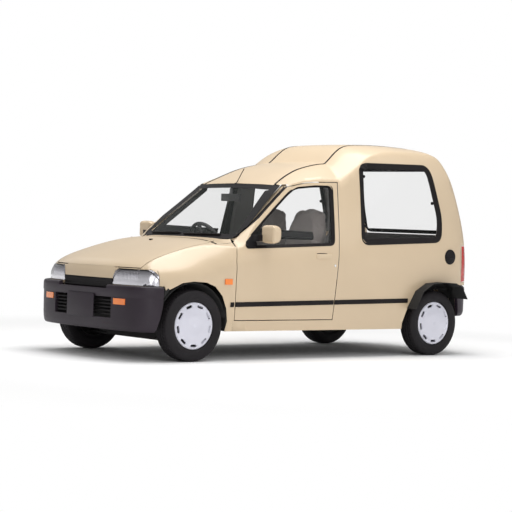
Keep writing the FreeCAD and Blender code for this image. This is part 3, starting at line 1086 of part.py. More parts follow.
def make_windscreen():
    pane = outer.cut(under_top(v.glass_thickness)).common(screen_hole).cut(door_hole)
    pane = pane.common(block(0, v.cabin_front, -far, far, v.cowl_height - v.overrun, reach))
    keep("windscreen", whole(largest(pane)))
    wipers = []
    wiper_stand = (v.wiper_width / 2 + v.wiper_gap) / math.sin(math.atan(-screen_slope))
    points = 13
    for start, end in ((v.wiper_near, v.wiper_near_end), (v.wiper_far, v.wiper_far_end)):
        run = []
        for count in range(points):
            y = start + (end - start) * count / (points - 1)
            height = v.screen_foot_z + v.wiper_rise + count / 2
            run.append(Vector(span(outer, "x", abs(y), height)[1] + wiper_stand, y, height))
        wipers.append(joined(*[rod(low, high, v.wiper_width / 2) for low, high in zip(run, run[1:])]))
    keep("wipers", Part.makeCompound(wipers))
    face = span(outer, "y", v.cap_x, v.cap_z)[1]
    cap = Part.makeCylinder(v.cap_radius, v.cap_depth * 2, Vector(v.cap_x, face - v.cap_depth, v.cap_z),
                            Vector(0, 1, 0))
    keep("filler_cap", cap.cut(outer))


make_doors()
make_side_frames()
make_roof()
make_tailgate()
make_bonnet()
make_front_panels()
make_front_frame()
make_floor()
make_bumpers()
make_grille()
make_windscreen()
make_knuckles()
make_wheels()
make_rear_axle()
make_underside()
make_cabin_fittings()
doc.recompute()

failed = [item.Name for item in doc.Objects if "Invalid" in item.State or "Error" in item.State]
for node, feature in parts.items():
    shape = feature.Shape
    if shape.isNull() or not shape.isValid() or not shape.Solids:
        failed.append(node)
print("failed", failed)
os.makedirs("parts", exist_ok=True)
for node, feature in parts.items():
    feature.Shape.exportStep(f"parts/{node}.step")
box = Part.makeCompound([feature.Shape for feature in parts.values()]).BoundBox
print(len(parts), "parts, box", box)
print("gate axis", gate_axis, "bonnet axis", bonnet_axis, "kingpin", kingpin, kingpin_point(axle_height))
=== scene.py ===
import json
import math

import bmesh
import bpy
from mathutils import Matrix, Vector
from mathutils.bvhtree import BVHTree

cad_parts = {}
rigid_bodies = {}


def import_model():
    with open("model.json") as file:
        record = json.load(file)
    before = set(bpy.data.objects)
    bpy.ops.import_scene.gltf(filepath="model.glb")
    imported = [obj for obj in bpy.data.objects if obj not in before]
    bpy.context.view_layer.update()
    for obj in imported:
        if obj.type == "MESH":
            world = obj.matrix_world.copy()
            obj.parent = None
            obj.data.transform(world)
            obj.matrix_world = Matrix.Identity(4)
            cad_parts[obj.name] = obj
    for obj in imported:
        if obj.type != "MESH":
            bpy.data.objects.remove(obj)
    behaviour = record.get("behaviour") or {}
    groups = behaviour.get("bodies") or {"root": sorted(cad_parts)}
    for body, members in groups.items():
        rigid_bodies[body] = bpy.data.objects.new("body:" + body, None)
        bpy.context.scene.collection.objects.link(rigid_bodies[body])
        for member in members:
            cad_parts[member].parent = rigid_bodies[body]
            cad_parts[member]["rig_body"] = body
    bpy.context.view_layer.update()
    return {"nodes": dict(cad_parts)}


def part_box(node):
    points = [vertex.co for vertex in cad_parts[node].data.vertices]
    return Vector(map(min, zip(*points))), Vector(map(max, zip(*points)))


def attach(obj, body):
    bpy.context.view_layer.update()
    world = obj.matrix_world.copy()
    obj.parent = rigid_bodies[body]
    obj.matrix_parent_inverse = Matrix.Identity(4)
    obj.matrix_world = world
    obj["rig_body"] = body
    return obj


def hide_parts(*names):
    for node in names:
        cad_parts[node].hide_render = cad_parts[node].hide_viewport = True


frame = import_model()
nodes = frame["nodes"]
bothSides = (("left", 1), ("right", -1))


# Camera, solved from the photograph's perspective
cameraSettings = {
    "place": (8.5676, 10.3267, 0.9785), "aim": (-0.6353, -0.7721, -0.0189), "rollDegrees": 2.045,
    "lens": 124.1, "sensor": 36.0, "farthest": 100,
}


def makeCamera(settings):
    aim = Vector(settings["aim"]).normalized()
    flat = Vector((aim.x, aim.y, 0)).normalized()
    level = Vector((flat.y, -flat.x, 0))
    roll = math.radians(settings["rollDegrees"])
    upright = level.cross(aim)
    right = level * math.cos(roll) + upright * math.sin(roll)
    up = upright * math.cos(roll) - level * math.sin(roll)
    data = bpy.data.cameras.new("camera")
    data.lens = settings["lens"]
    data.sensor_width = settings["sensor"]
    data.clip_end = settings["farthest"]
    camera = bpy.data.objects.new("camera", data)
    turn = Matrix((right, up, -aim)).transposed()
    camera.matrix_world = Matrix.Translation(settings["place"]) @ turn.to_4x4()
    bpy.context.scene.collection.objects.link(camera)
    bpy.context.scene.camera = camera


makeCamera(cameraSettings)
print("camera set")


# Helpers for node trees
def fill(node, values):
    for socket, value in values.items():
        node.inputs[socket].default_value = value


def addNode(tree, kind, values=None):
    node = tree.nodes.new(kind)
    fill(node, values or {})
    return node


def wire(tree, *links):
    for source, output, target, entry in links:
        tree.links.new(source.outputs[output], target.inputs[entry])


def newMaterial(name):
    material = bpy.data.materials.new(name)
    material.use_nodes = True
    tree = material.node_tree
    return material, tree, tree.nodes["Principled BSDF"]


# Grained finishes: two close colours in slow patches, with roughness and bumps from a finer noise
grainSettings = {"detail": 3.0, "patches": 3.0, "span": (0.3, 0.7), "coatRoughness": 0.10}


def objectNoise(tree, scale, stretch=(1, 1, 1)):
    place = addNode(tree, "ShaderNodeTexCoord")
    mapping = addNode(tree, "ShaderNodeMapping", {"Scale": stretch})
    grain = addNode(tree, "ShaderNodeTexNoise", {"Scale": scale, "Detail": grainSettings["detail"]})
    wire(tree, (place, "Object", mapping, "Vector"), (mapping, "Vector", grain, "Vector"))
    return grain


def tint(tree, shader, source, low, high):
    ramp = addNode(tree, "ShaderNodeValToRGB")
    for element, place, colour in zip(ramp.color_ramp.elements, grainSettings["span"], (low, high)):
        element.position = place
        element.color = (*colour, 1)
    wire(tree, (source, "Fac", ramp, "Fac"), (ramp, "Color", shader, "Base Color"))


def emboss(tree, shader, source, output, strength, distance):
    bump = addNode(tree, "ShaderNodeBump", {"Strength": strength, "Distance": distance})
    wire(tree, (source, output, bump, "Height"), (bump, "Normal", shader, "Normal"))


def grained(name, low, high, rough, scale, bumps, metallic=0.0, coat=0.0, stretch=(1, 1, 1), specular=0.5):
    material, tree, shader = newMaterial(name)
    tint(tree, shader, objectNoise(tree, grainSettings["patches"]), low, high)
    grain = objectNoise(tree, scale, stretch)
    spread = addNode(tree, "ShaderNodeMapRange", {"To Min": rough[0], "To Max": rough[1]})
    wire(tree, (grain, "Fac", spread, "Value"), (spread, "Result", shader, "Roughness"))
    if bumps:
        emboss(tree, shader, grain, "Fac", *bumps)
    fill(shader, {"Metallic": metallic, "Specular IOR Level": specular, "Coat Weight": coat,
                  "Coat Roughness": grainSettings["coatRoughness"]})
    return material


beigePaint = grained("beigePaint", (0.590, 0.462, 0.312), (0.612, 0.480, 0.326), (0.36, 0.44), 900,
                     (0.02, 0.0002), metallic=0.04, coat=0.30)
# A darker copy of the beige paint, for the bonnet's underside and edges: painted shade
jambPaintedShade = grained("jambPaintedShade", (0.44, 0.35, 0.24), (0.47, 0.375, 0.26), (0.45, 0.55), 700,
                    (0.04, 0.0005), coat=0.3)
bumperPlastic = grained("bumperPlastic", (0.020, 0.013, 0.020), (0.027, 0.019, 0.028), (0.36, 0.5), 1400,
                        (0.25, 0.0003), specular=0.3)
blackTrim = grained("blackTrim", (0.009, 0.008, 0.009), (0.014, 0.012, 0.013), (0.38, 0.5), 1200,
                    (0.15, 0.0002), specular=0.12)
sealRubber = grained("sealRubber", (0.010, 0.008, 0.009), (0.016, 0.014, 0.014), (0.5, 0.66), 600,
                     (0.2, 0.0003), specular=0.12)
underseal = grained("underseal", (0.010, 0.010, 0.010), (0.020, 0.019, 0.018), (0.75, 0.95), 300, (0.5, 0.001))
chassisBlack = grained("chassisBlack", (0.015, 0.015, 0.015), (0.024, 0.023, 0.022), (0.5, 0.7), 250,
                       (0.3, 0.0006))
tyreRubber = grained("tyreRubber", (0.007, 0.0055, 0.007), (0.012, 0.010, 0.012), (0.62, 0.8), 500,
                     (0.25, 0.0004), specular=0.3)
wheelSilver = grained("wheelSilver", (0.62, 0.62, 0.70), (0.68, 0.68, 0.76), (0.32, 0.42), 1100,
                      (0.05, 0.0002), metallic=0.35, coat=0.5)
castAlloy = grained("castAlloy", (0.20, 0.20, 0.20), (0.30, 0.30, 0.29), (0.5, 0.7), 200, (0.5, 0.001),
                    metallic=0.7)
pipeSteel = grained("pipeSteel", (0.22, 0.20, 0.18), (0.34, 0.31, 0.28), (0.4, 0.6), 120, (0.2, 0.0005),
                    metallic=0.8)
cabinPlastic = grained("cabinPlastic", (0.035, 0.033, 0.035), (0.05, 0.047, 0.05), (0.55, 0.7), 900,
                       (0.3, 0.0004))
cabinTrim = grained("cabinTrim", (0.20, 0.19, 0.19), (0.24, 0.23, 0.225), (0.6, 0.75), 700, (0.3, 0.0005))
brightMetal = grained("brightMetal", (0.75, 0.76, 0.78), (0.82, 0.83, 0.84), (0.08, 0.16), 60, None,
                      metallic=1.0)
amberLens = grained("amberLens", (0.80, 0.18, 0.02), (0.90, 0.24, 0.03), (0.12, 0.2), 260, (0.3, 0.0006),
                    coat=0.6, stretch=(0.2, 1, 0.2))
redLens = grained("redLens", (0.42, 0.012, 0.010), (0.52, 0.02, 0.015), (0.12, 0.2), 240, (0.3, 0.0006),
                  coat=0.6, stretch=(1, 1, 0.2))


# Clear panes with a faint tint
paneSettings = {"patches": 4.0, "lighter": 1.06, "roughness": 0.03, "specular": 0.9, "coat": 0.6,
                "coatRoughness": 0.02}


def clearPane(name, colour, alpha, settings):
    material, tree, shader = newMaterial(name)
    lighter = [min(1, part * settings["lighter"]) for part in colour]
    tint(tree, shader, objectNoise(tree, settings["patches"]), colour, lighter)
    fill(shader, {"Roughness": settings["roughness"], "Alpha": alpha, "Coat Weight": settings["coat"],
                  "Specular IOR Level": settings["specular"], "Coat Roughness": settings["coatRoughness"]})
    return material


sideGlass = clearPane("sideGlass", (0.08, 0.09, 0.085), 0.07, paneSettings)
quarterGlass = clearPane("quarterGlass", (0.10, 0.11, 0.105), 0.025, paneSettings)
screenGlass = clearPane("screenGlass", (0.08, 0.095, 0.085), 0.07, paneSettings)


# The headlamp's bright bowl, fluted, with painted shade that darkens it towards its brow
lampSettings = {
    "foot": 0.535, "brow": 0.622, "light": (0.72, 0.71, 0.76, 1), "paintedBrowShade": (0.10, 0.095, 0.11, 1),
    "lightTo": 0.35, "flutes": 26, "bumps": (0.35, 0.002), "metallic": 0.7, "roughness": 0.16, "coat": 1.0,
}


def lampMaterial(name, settings):
    material, tree, shader = newMaterial(name)
    place = addNode(tree, "ShaderNodeTexCoord")
    split = addNode(tree, "ShaderNodeSeparateXYZ")
    # Painted shade: the colour runs from the bowl's silver at the foot to near black at the brow
    rise = addNode(tree, "ShaderNodeMapRange", {"From Min": settings["foot"], "From Max": settings["brow"]})
    ramp = addNode(tree, "ShaderNodeValToRGB")
    first, last = ramp.color_ramp.elements
    first.color = settings["light"]
    first.position = settings["lightTo"]
    last.color = settings["paintedBrowShade"]
    wave = addNode(tree, "ShaderNodeTexWave", {"Scale": settings["flutes"]})
    wave.bands_direction = "Y"
    wire(tree, (place, "Object", split, "Vector"), (split, "Z", rise, "Value"), (rise, "Result", ramp, "Fac"),
         (ramp, "Color", shader, "Base Color"), (place, "Object", wave, "Vector"))
    emboss(tree, shader, wave, "Fac", *settings["bumps"])
    fill(shader, {"Metallic": settings["metallic"], "Roughness": settings["roughness"],
                  "Coat Weight": settings["coat"]})
    return material


lampMirror = lampMaterial("lampMirror", lampSettings)


# Cloth with a fine weave, for the seats
weaveSettings = {
    "low": (0.36, 0.315, 0.30), "high": (0.44, 0.39, 0.37), "patches": 9.0, "threads": 160, "turn": 0.4,
    "bumps": (0.4, 0.0008), "roughness": 0.9, "sheen": 0.4,
}


def clothMaterial(name, settings):
    material, tree, shader = newMaterial(name)
    tint(tree, shader, objectNoise(tree, settings["patches"]), settings["low"], settings["high"])
    place = addNode(tree, "ShaderNodeTexCoord")
    weave = addNode(tree, "ShaderNodeMath")
    weave.operation = "MAXIMUM"
    for entry, turn in enumerate((0, math.pi / 2)):
        mapping = addNode(tree, "ShaderNodeMapping", {"Rotation": (turn, turn / 2, settings["turn"])})
        wave = addNode(tree, "ShaderNodeTexWave", {"Scale": settings["threads"]})
        wire(tree, (place, "Object", mapping, "Vector"), (mapping, "Vector", wave, "Vector"),
             (wave, "Fac", weave, entry))
    emboss(tree, shader, weave, "Value", *settings["bumps"])
    fill(shader, {"Roughness": settings["roughness"], "Sheen Weight": settings["sheen"]})
    return material


seatCloth = clothMaterial("seatCloth", weaveSettings)
print("materials made")


# Meshes
meshSettings = {"sharpDegrees": 32, "merge": 0.00002, "cornerShare": 0.45, "cornerSteps": 6,
                "bevelSegments": 3}


def addPiece(name, mesh, body, material, slot, smooth=True):
    piece = bpy.data.objects.new(name, mesh)
    bpy.context.scene.collection.objects.link(piece)
    if material is not None:
        mesh.materials.clear()
        mesh.materials.append(material)
    if smooth:
        mesh.polygons.foreach_set("use_smooth", [True] * len(mesh.polygons))
        mesh.set_sharp_from_angle(angle=math.radians(meshSettings["sharpDegrees"]))
    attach(piece, body)
    return piece


def meshFrom(name, points, faces, weld=0.0):
    mesh = bpy.data.meshes.new(name)
    mesh.from_pydata([tuple(point) for point in points], [], faces)
    mesh.validate()
    work = bmesh.new()
    work.from_mesh(mesh)
    if weld:
        bmesh.ops.remove_doubles(work, verts=work.verts, dist=weld)
    bmesh.ops.recalc_face_normals(work, faces=work.faces)
    work.to_mesh(mesh)
    work.free()
    return mesh


# A copy of a CAD node with its doubles merged, smooth where it is curved, and a finish chosen for each face
def dressed(node, materials, choose, slot):
    source = nodes[node]
    mesh = source.data.copy()
    mesh.name = node + "Shell"
    work = bmesh.new()
    work.from_mesh(mesh)
    bmesh.ops.remove_doubles(work, verts=work.verts, dist=meshSettings["merge"])
    bmesh.ops.dissolve_degenerate(work, edges=work.edges, dist=meshSettings["merge"])
    work.normal_update()
    picks = [choose(face.calc_center_median(), face.normal) if choose else 0 for face in work.faces]
    work.to_mesh(mesh)
    work.free()
    piece = addPiece(node + "Skin", mesh, source["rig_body"], None, slot)
    mesh.materials.clear()
    for material in materials:
        mesh.materials.append(material)
    mesh.polygons.foreach_set("material_index", picks)
    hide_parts(node)
    return piece


# The faces of some CAD nodes, for placing trim on them. A ray that misses is tried again close by
skinSettings = {
    "fromSide": 2, "fromAbove": 3, "fromFront": 3,
    "nearby": (0, 0.002, -0.002, 0.005, -0.005, 0.009, -0.009, 0.014, -0.014, 0.02, -0.02, 0.03, -0.03),
}
axisX, axisY, axisZ = Vector((1, 0, 0)), Vector((0, 1, 0)), Vector((0, 0, 1))


class Skin:
    def __init__(self, *names):
        points = []
        faces = []
        for name in names:
            mesh = nodes[name].data
            start = len(points)
            points += [vertex.co.copy() for vertex in mesh.vertices]
            faces += [[start + index for index in polygon.vertices] for polygon in mesh.polygons]
        self.tree = BVHTree.FromPolygons(points, faces)

    def cast(self, start, along, sideways):
        for near in skinSettings["nearby"]:
            for across in sideways:
                place = self.tree.ray_cast(start + across * near, along)[0]
                if place is not None:
                    return place - across * near
        return None

    def fromSide(self, x, z, sign=1):
        start = Vector((x, sign * skinSettings["fromSide"], z))
        return self.cast(start, Vector((0, -sign, 0)), (axisZ, axisX))

    def fromAbove(self, x, y):
        start = Vector((x, y, skinSettings["fromAbove"]))
        return self.cast(start, Vector((0, 0, -1)), (axisY, axisX))

    def fromFront(self, y, z, sign=1):
        start = Vector((sign * skinSettings["fromFront"], y, z))
        return self.cast(start, Vector((-sign, 0, 0)), (axisY, axisZ))


# Points evenly along a closed or open line of corners, each corner rounded
def sampled(corners, radius, step, closed=True):
    corners = [Vector(corner) for corner in corners]
    line = []
    count = len(corners)
    most = meshSettings["cornerShare"]
    for index, corner in enumerate(corners):
        if not closed and index in (0, count - 1):
            line.append(corner)
            continue
        before = corners[index - 1] - corner
        after = corners[(index + 1) % count] - corner
        back = min(radius, before.length * most, after.length * most)
        start = corner + before.normalized() * back
        end = corner + after.normalized() * back
        for part in range(meshSettings["cornerSteps"] + 1):
            t = part / meshSettings["cornerSteps"]
            line.append(start * (1 - t) ** 2 + corner * 2 * t * (1 - t) + end * t * t)
    if closed:
        line.append(line[0])
    spread = [line[0]]
    for first, second in zip(line, line[1:]):
        pieces = max(1, math.ceil((second - first).length / step))
        spread += [first.lerp(second, part / pieces) for part in range(1, pieces + 1)]
    if closed:
        spread.pop()
    return spread


# The outward direction at each point of a closed line in a plane
def outwardOf(line):
    count = len(line)
    area = sum(line[i - 1].x * line[i].y - line[i].x * line[i - 1].y for i in range(count))
    turn = 1 if area > 0 else -1
    found = []
    for index in range(count):
        along = (line[(index + 1) % count] - line[index - 1]).normalized()
        found.append(Vector((along.y, -along.x)) * turn)
    return found


# A skin over rows of points that each go round a cross-section
def band(rows, closed=False):
    points = [point for row in rows for point in row]
    wide = len(rows[0])
    count = len(rows)
    faces = []
    for i in range(count if closed else count - 1):
        j = (i + 1) % count
        for k in range(wide):
            m = (k + 1) % wide
            faces.append((i * wide + k, i * wide + m, j * wide + m, j * wide + k))
    if not closed:
        faces.append(tuple(range(wide)))
        faces.append(tuple((count - 1) * wide + k for k in reversed(range(wide))))
    return points, faces


def bandPiece(name, rows, body, material, slot, closed=False):
    points, faces = band(rows, closed)
    return addPiece(name, meshFrom(name, points, faces), body, material, slot)


# A turned shape: its profile gives radius and height along the axis
def discPiece(name, centre, axis, profile, sides, body, material, slot):
    axis = axis.normalized()
    first = axis.orthogonal().normalized()
    second = axis.cross(first)
    points = []
    faces = []
    for radius, height in profile:
        for step in range(sides):
            angle = 2 * math.pi * step / sides
            spoke = first * math.cos(angle) + second * math.sin(angle)
            points.append(centre + spoke * radius + axis * height)
    for row in range(len(profile) - 1):
        for step in range(sides):
            after = (step + 1) % sides
            faces.append((row * sides + step, row * sides + after, (row + 1) * sides + after,
                          (row + 1) * sides + step))
    if profile[-1][0] > 0:
        faces.append(tuple((len(profile) - 1) * sides + step for step in range(sides)))
    mesh = meshFrom(name, points, faces, meshSettings["merge"] / 2)
    return addPiece(name, mesh, body, material, slot)


def boxMesh(name, low, high):
    points = [(x, y, z) for x in (low[0], high[0]) for y in (low[1], high[1]) for z in (low[2], high[2])]
    faces = [(0, 1, 3, 2), (4, 6, 7, 5), (0, 4, 5, 1), (2, 3, 7, 6), (0, 2, 6, 4), (1, 5, 7, 3)]
    return meshFrom(name, points, faces)


def boxPiece(name, low, high, body, material, slot, bevel):
    mesh = boxMesh(name, low, high)
    work = bmesh.new()
    work.from_mesh(mesh)
    bmesh.ops.bevel(work, geom=list(work.edges), offset=bevel, segments=meshSettings["bevelSegments"],
                    affect="EDGES", profile=0.5)
    work.to_mesh(mesh)
    work.free()
    return addPiece(name, mesh, body, material, slot)


# Rubber seals round the side windows
sealSettings = {
    "door": {
        "corners": ((0.700, 0.797), (0.700, 0.836), (0.222, 1.216), (0.150, 1.250), (0, 1.268),
                    (-0.145, 1.271), (-0.107, 0.834)),
        "radius": 0.040, "inner": 0.016, "outer": 0.005},
    "quarter": {
        "corners": ((-0.382, 0.846), (-1.215, 0.882), (-1.224, 1.060), (-1.098, 1.459), (-0.388, 1.444)),
        "radius": 0.070, "inner": 0.036, "outer": 0.009},
    "glassInset": 0.014, "bead": 0.002, "step": 0.015, "sunk": 0.004, "swell": 0.002, "tuck": 0.003,
    "probe": 0.012, "farProbe": 0.026, "steepest": 0.9, "swellAt": 0.25, "fallAt": 0.6, "backAt": 0.3,
}


def sealSection(outside, inside, outward, settings):
    inset = settings["glassInset"]
    rim = outside + outward * settings["bead"]
    lip = inside - outward * (inset - settings["bead"])
    swollen = rim.lerp(lip, settings["swellAt"]) + outward * settings["swell"]
    back = outside.lerp(inside, settings["backAt"]) - outward * (inset + settings["bead"])
    return [outside - outward * settings["sunk"], rim, swollen, rim.lerp(lip, settings["fallAt"]), lip,
            lip - outward * settings["tuck"], back]


def makeSideSeal(name, window, panel, body, sign, settings):
    line = sampled(window["corners"], window["radius"], settings["step"])
    skin = Skin(panel)
    probes = (settings["probe"], settings["farProbe"])
    rows = []
    for point, sideways in zip(line, outwardOf(line)):
        out = point + sideways * window["outer"]
        inn = point - sideways * window["inner"]
        near, far = (point + sideways * (window["outer"] + probe) for probe in probes)
        hit = skin.fromSide(near.x, near.y, sign)
        second = skin.fromSide(far.x, far.y, sign)
        slope = (hit.y - second.y) / (probes[1] - probes[0]) if second is not None else 0
        slope = max(-settings["steepest"], min(settings["steepest"], slope))
        reach = probes[0] + window["outer"] + window["inner"]
        outside = Vector((out.x, hit.y + slope * probes[0], out.y))
        inside = Vector((inn.x, hit.y + slope * reach, inn.y))
        rows.append(sealSection(outside, inside, Vector((0, sign, 0)), settings))
    bandPiece(name, rows, body, sealRubber, "trim_plastic", closed=True)


# The moulding along each side, in three runs
mouldingSettings = {
    "wing": (0.836, 0.805), "door": (0.792, -0.128), "panel": (-0.138, -0.884),
    "profile": ((-0.5, -0.3), (-0.5, 0.35), (-0.36, 0.85), (0, 1.0), (0.36, 0.85), (0.5, 0.35), (0.5, -0.3)),
    "height": 0.034, "stand": 0.009, "step": 0.02, "taper": 0.6, "front": 0.840, "level": 0.396,
    "slope": 0.0168,
}


def makeMoulding(name, run, panel, body, sign, settings):
    start, end = settings[run]
    count = max(2, round(abs(end - start) / settings["step"]))
    skin = Skin(panel)
    rows = []
    for step in range(count + 1):
        x = start + (end - start) * step / count
        middle = settings["level"] + (settings["front"] - x) * settings["slope"]
        taper = settings["taper"] if step in (0, count) else 1.0
        row = []
        for height, stand in settings["profile"]:
            z = middle + height * settings["height"]
            hit = skin.fromSide(x, z, sign)
            row.append(Vector((x, hit.y + sign * settings["stand"] * stand * taper, z)))
        rows.append(row)
    bandPiece(name, rows, body, sealRubber, "trim_plastic")


# Door handles: a painted flap, a black band above it as painted shadow in the finger room, and the lock
handleSettings = {
    "front": 0.072, "back": -0.080, "low": 0.729, "high": 0.769, "stand": 0.010, "steps": 22,
    "profile": ((0.0, -0.2), (0.04, 0.5), (0.3, 0.95), (0.62, 1.0), (0.93, 0.7), (1.0, -0.2)),
    "swell": 0.35, "endHeight": 0.75, "endStand": 0.35,
    "roomStart": 0.006, "roomShorter": 0.05, "roomHalf": 0.006, "roomEdge": 0.001, "roomAbove": 0.6,
    "roomLift": 0.0012, "roomDepth": 0.003,
    "lock": (-0.117, 0.683), "lockLift": 0.001, "lockSides": 24,
    "lockProfile": ((0.0, 0.0), (0.005, 0.0), (0.006, 0.001), (0.009, 0.001), (0.0095, -0.002)),
}


def makeHandle(side, sign, settings):
    skin = Skin("door_" + side)
    body = side + "_door"
    frontX, backX, low, high = (settings[key] for key in ("front", "back", "low", "high"))
    flap = []
    roomShadow = []
    for step in range(settings["steps"] + 1):
        share = step / settings["steps"]
        arch = math.sin(math.pi * share)
        x = frontX + (backX - frontX) * share
        swell = arch ** settings["swell"]
        tall = settings["endHeight"] + (1 - settings["endHeight"]) * swell
        stand = settings["stand"] * (settings["endStand"] + (1 - settings["endStand"]) * swell)
        row = []
        for part, lift in settings["profile"]:
            z = low + (high - low) * (0.5 + (part - 0.5) * tall)
            row.append(Vector((x, skin.fromSide(x, z, sign).y + sign * stand * lift, z)))
        flap.append(row)
        # The finger room is a thin black band laid on the door's face: painted shadow
        x = frontX - settings["roomStart"] + (backX - frontX + settings["roomShorter"]) * share
        narrow = arch ** 0.5 * settings["roomHalf"] + settings["roomEdge"]
        row = []
        for z in (high - narrow, high + narrow * settings["roomAbove"]):
            row.append(Vector((x, skin.fromSide(x, z, sign).y + sign * settings["roomLift"], z)))
        row += [Vector((x, point.y - sign * settings["roomDepth"], point.z)) for point in reversed(row)]
        roomShadow.append(row)
    bandPiece("handle_" + side, flap, body, beigePaint, "body_paint")
    bandPiece("handleShadow_" + side, roomShadow, body, blackTrim, "trim_plastic")
    away = Vector((0, sign, 0))
    place = skin.fromSide(*settings["lock"], sign) + away * settings["lockLift"]
    discPiece("lock_" + side, place, away, settings["lockProfile"], settings["lockSides"], body, brightMetal,
              "trim_plastic")


for side, sign in bothSides:
    door = side + "_door"
    frameNode = "side_frame_" + side
    makeSideSeal("doorSeal_" + side, sealSettings["door"], "door_" + side, door, sign, sealSettings)
    makeSideSeal("quarterSeal_" + side, sealSettings["quarter"], frameNode, "body", sign, sealSettings)
    makeMoulding("wingMoulding_" + side, "wing", "front_wings", "body", sign, mouldingSettings)
    makeMoulding("doorMoulding_" + side, "door", "door_" + side, door, sign, mouldingSettings)
    makeMoulding("panelMoulding_" + side, "panel", frameNode, "body", sign, mouldingSettings)
    makeHandle(side, sign, handleSettings)
print("side trim made")


# Black bands round the windscreen and the tailgate window. Half of each outline is given
glassBandSettings = {
    "screen": {
        "outline": ((0, 0.852), (0.30, 0.853), (0.50, 0.855), (0.580, 0.868), (0.478, 1.2585), (0.30, 1.266),
                    (0, 1.271)),
        "widths": (0.034, 0.062, 0.034), "radius": 0.020, "direction": 1},
    "gate": {
        "outline": ((0, 0.934), (0.30, 0.934), (0.500, 0.934), (0.500, 1.120), (0.446, 1.462), (0.30, 1.462),
                    (0, 1.462)),
        "widths": (0.03, 0.03, 0.03), "radius": 0.06, "direction": -1},
    "lift": 0.0012, "step": 0.02, "shares": (0.0, 0.33, 0.66, 1.0), "edge": 0.003, "narrow": 0.6, "back": 1.5,
}


def makeGlassBand(name, shape, node, body, settings):
    half = shape["outline"]
    outline = list(half) + [(-y, z) for y, z in reversed(half) if y > 0]
    line = sampled(outline, shape["radius"], settings["step"])
    skin = Skin(node)
    foot, flank, head = shape["widths"]
    lowest = min(point.y for point in line)
    highest = max(point.y for point in line)
    lift = Vector((shape["direction"] * settings["lift"], 0, 0))
    rows = []
    for point, outward in zip(line, outwardOf(line)):
        level = (point.y - lowest) / (highest - lowest)
        upright = abs(outward.x)
        across = foot if level < 0.5 else head
        wide = flank * (settings["narrow"] + level) * upright + across * (1 - upright)
        row = []
        for share in settings["shares"]:
            spot = point - outward * (settings["edge"] + wide * share)
            hit = skin.fromFront(spot.x, spot.y, shape["direction"])
            if hit is None:
                hit = row[-1] - lift if row else Vector((0, spot.x, spot.y))
            row.append(hit + lift)
        rows.append(row + [hit - lift * settings["back"] for hit in reversed(row)])
    bandPiece(name, rows, body, blackTrim, "trim_plastic", closed=True)


makeGlassBand("screenBand", glassBandSettings["screen"], "windscreen", "body", glassBandSettings)
makeGlassBand("gateBand", glassBandSettings["gate"], "tailgate_glass", "tail_door", glassBandSettings)
print("glass bands made")


# Roof seams
seamSettings = {
    "line": ((0.262, 0.414), (0.150, 0.376), (0.020, 0.350), (-0.304, 0.332), (-0.440, 0.322),
             (-1.190, 0.322)),
    "profile": ((-1, 0), (0, -0.0008), (1, 0), (1, 0.006), (-1, 0.006)),
    "half": 0.0090, "lift": 0.0007, "step": 0.02, "radius": 0.05, "beside": 0.008,
}


def makeSeam(name, sign, settings):
    skin = Skin("roof_panel")
    rows = []
    for point in sampled(settings["line"], settings["radius"], settings["step"], closed=False):
        hit = skin.fromAbove(point.x, sign * (point.y - settings["beside"]))
        if hit is None:
            continue
        row = []
        for across, deep in settings["profile"]:
            y = sign * (point.y + across * settings["half"])
            row.append(Vector((point.x, y, hit.z + settings["lift"] - deep)))
        rows.append(row)
    bandPiece(name, rows, "body", sealRubber, "trim_plastic")


for side, sign in bothSides:
    makeSeam("roofSeam_" + side, sign, seamSettings)
print("roof seams made")


# Tyres with three grooves, sipes across the ribs and open slots at the shoulders
tyreSettings = {
    "sidewall": ((0.1523, 0.0540), (0.1560, 0.0545), (0.1640, 0.0545), (0.1668, 0.0560), (0.1700, 0.0600),
                 (0.1730, 0.0640), (0.1790, 0.0675), (0.1860, 0.0700), (0.1940, 0.0716), (0.2020, 0.0724),
                 (0.2030, 0.0718), (0.2050, 0.0718), (0.2060, 0.0724), (0.2150, 0.0716), (0.2240, 0.0695),
                 (0.2320, 0.0660), (0.2390, 0.0610), (0.2440, 0.0560), (0.2470, 0.0510)),
    "radius": 0.250, "crown": 0.0025, "crownHalf": 0.05, "edge": 0.0475, "steps": 360,
    "grooves": (0.027, 0.0), "grooveHalf": 0.0032, "grooveSlope": 0.0004, "grooveDepth": 0.006,
    "lugs": 60, "lugSlant": 9, "lugHalf": 0.056, "lugFrom": 0.2425, "shoulderFrom": 0.031,
    "shoulderCut": (0.26, 0.0045), "ribCut": (0.14, 0.003),
}


def tyreProfile(settings):
    half = settings["grooveHalf"]
    marks = {settings["edge"]}
    for groove in settings["grooves"]:
        edges = (groove + half, groove - half) if groove else (half,)
        for edge in edges:
            marks.add(edge)
            marks.add(edge + settings["grooveSlope"] * (1 if edge > groove else -1))
    crown = []
    for width in sorted(marks, reverse=True):
        radius = settings["radius"] - settings["crown"] * (width / settings["crownHalf"]) ** 2
        inGroove = any(abs(width - groove) <= half + settings["grooveSlope"] / 4
                       for groove in settings["grooves"])
        crown.append((radius - (settings["grooveDepth"] if inGroove else 0), width))
    right = list(settings["sidewall"]) + crown
    return right + [(radius, -width) for radius, width in reversed(right)]


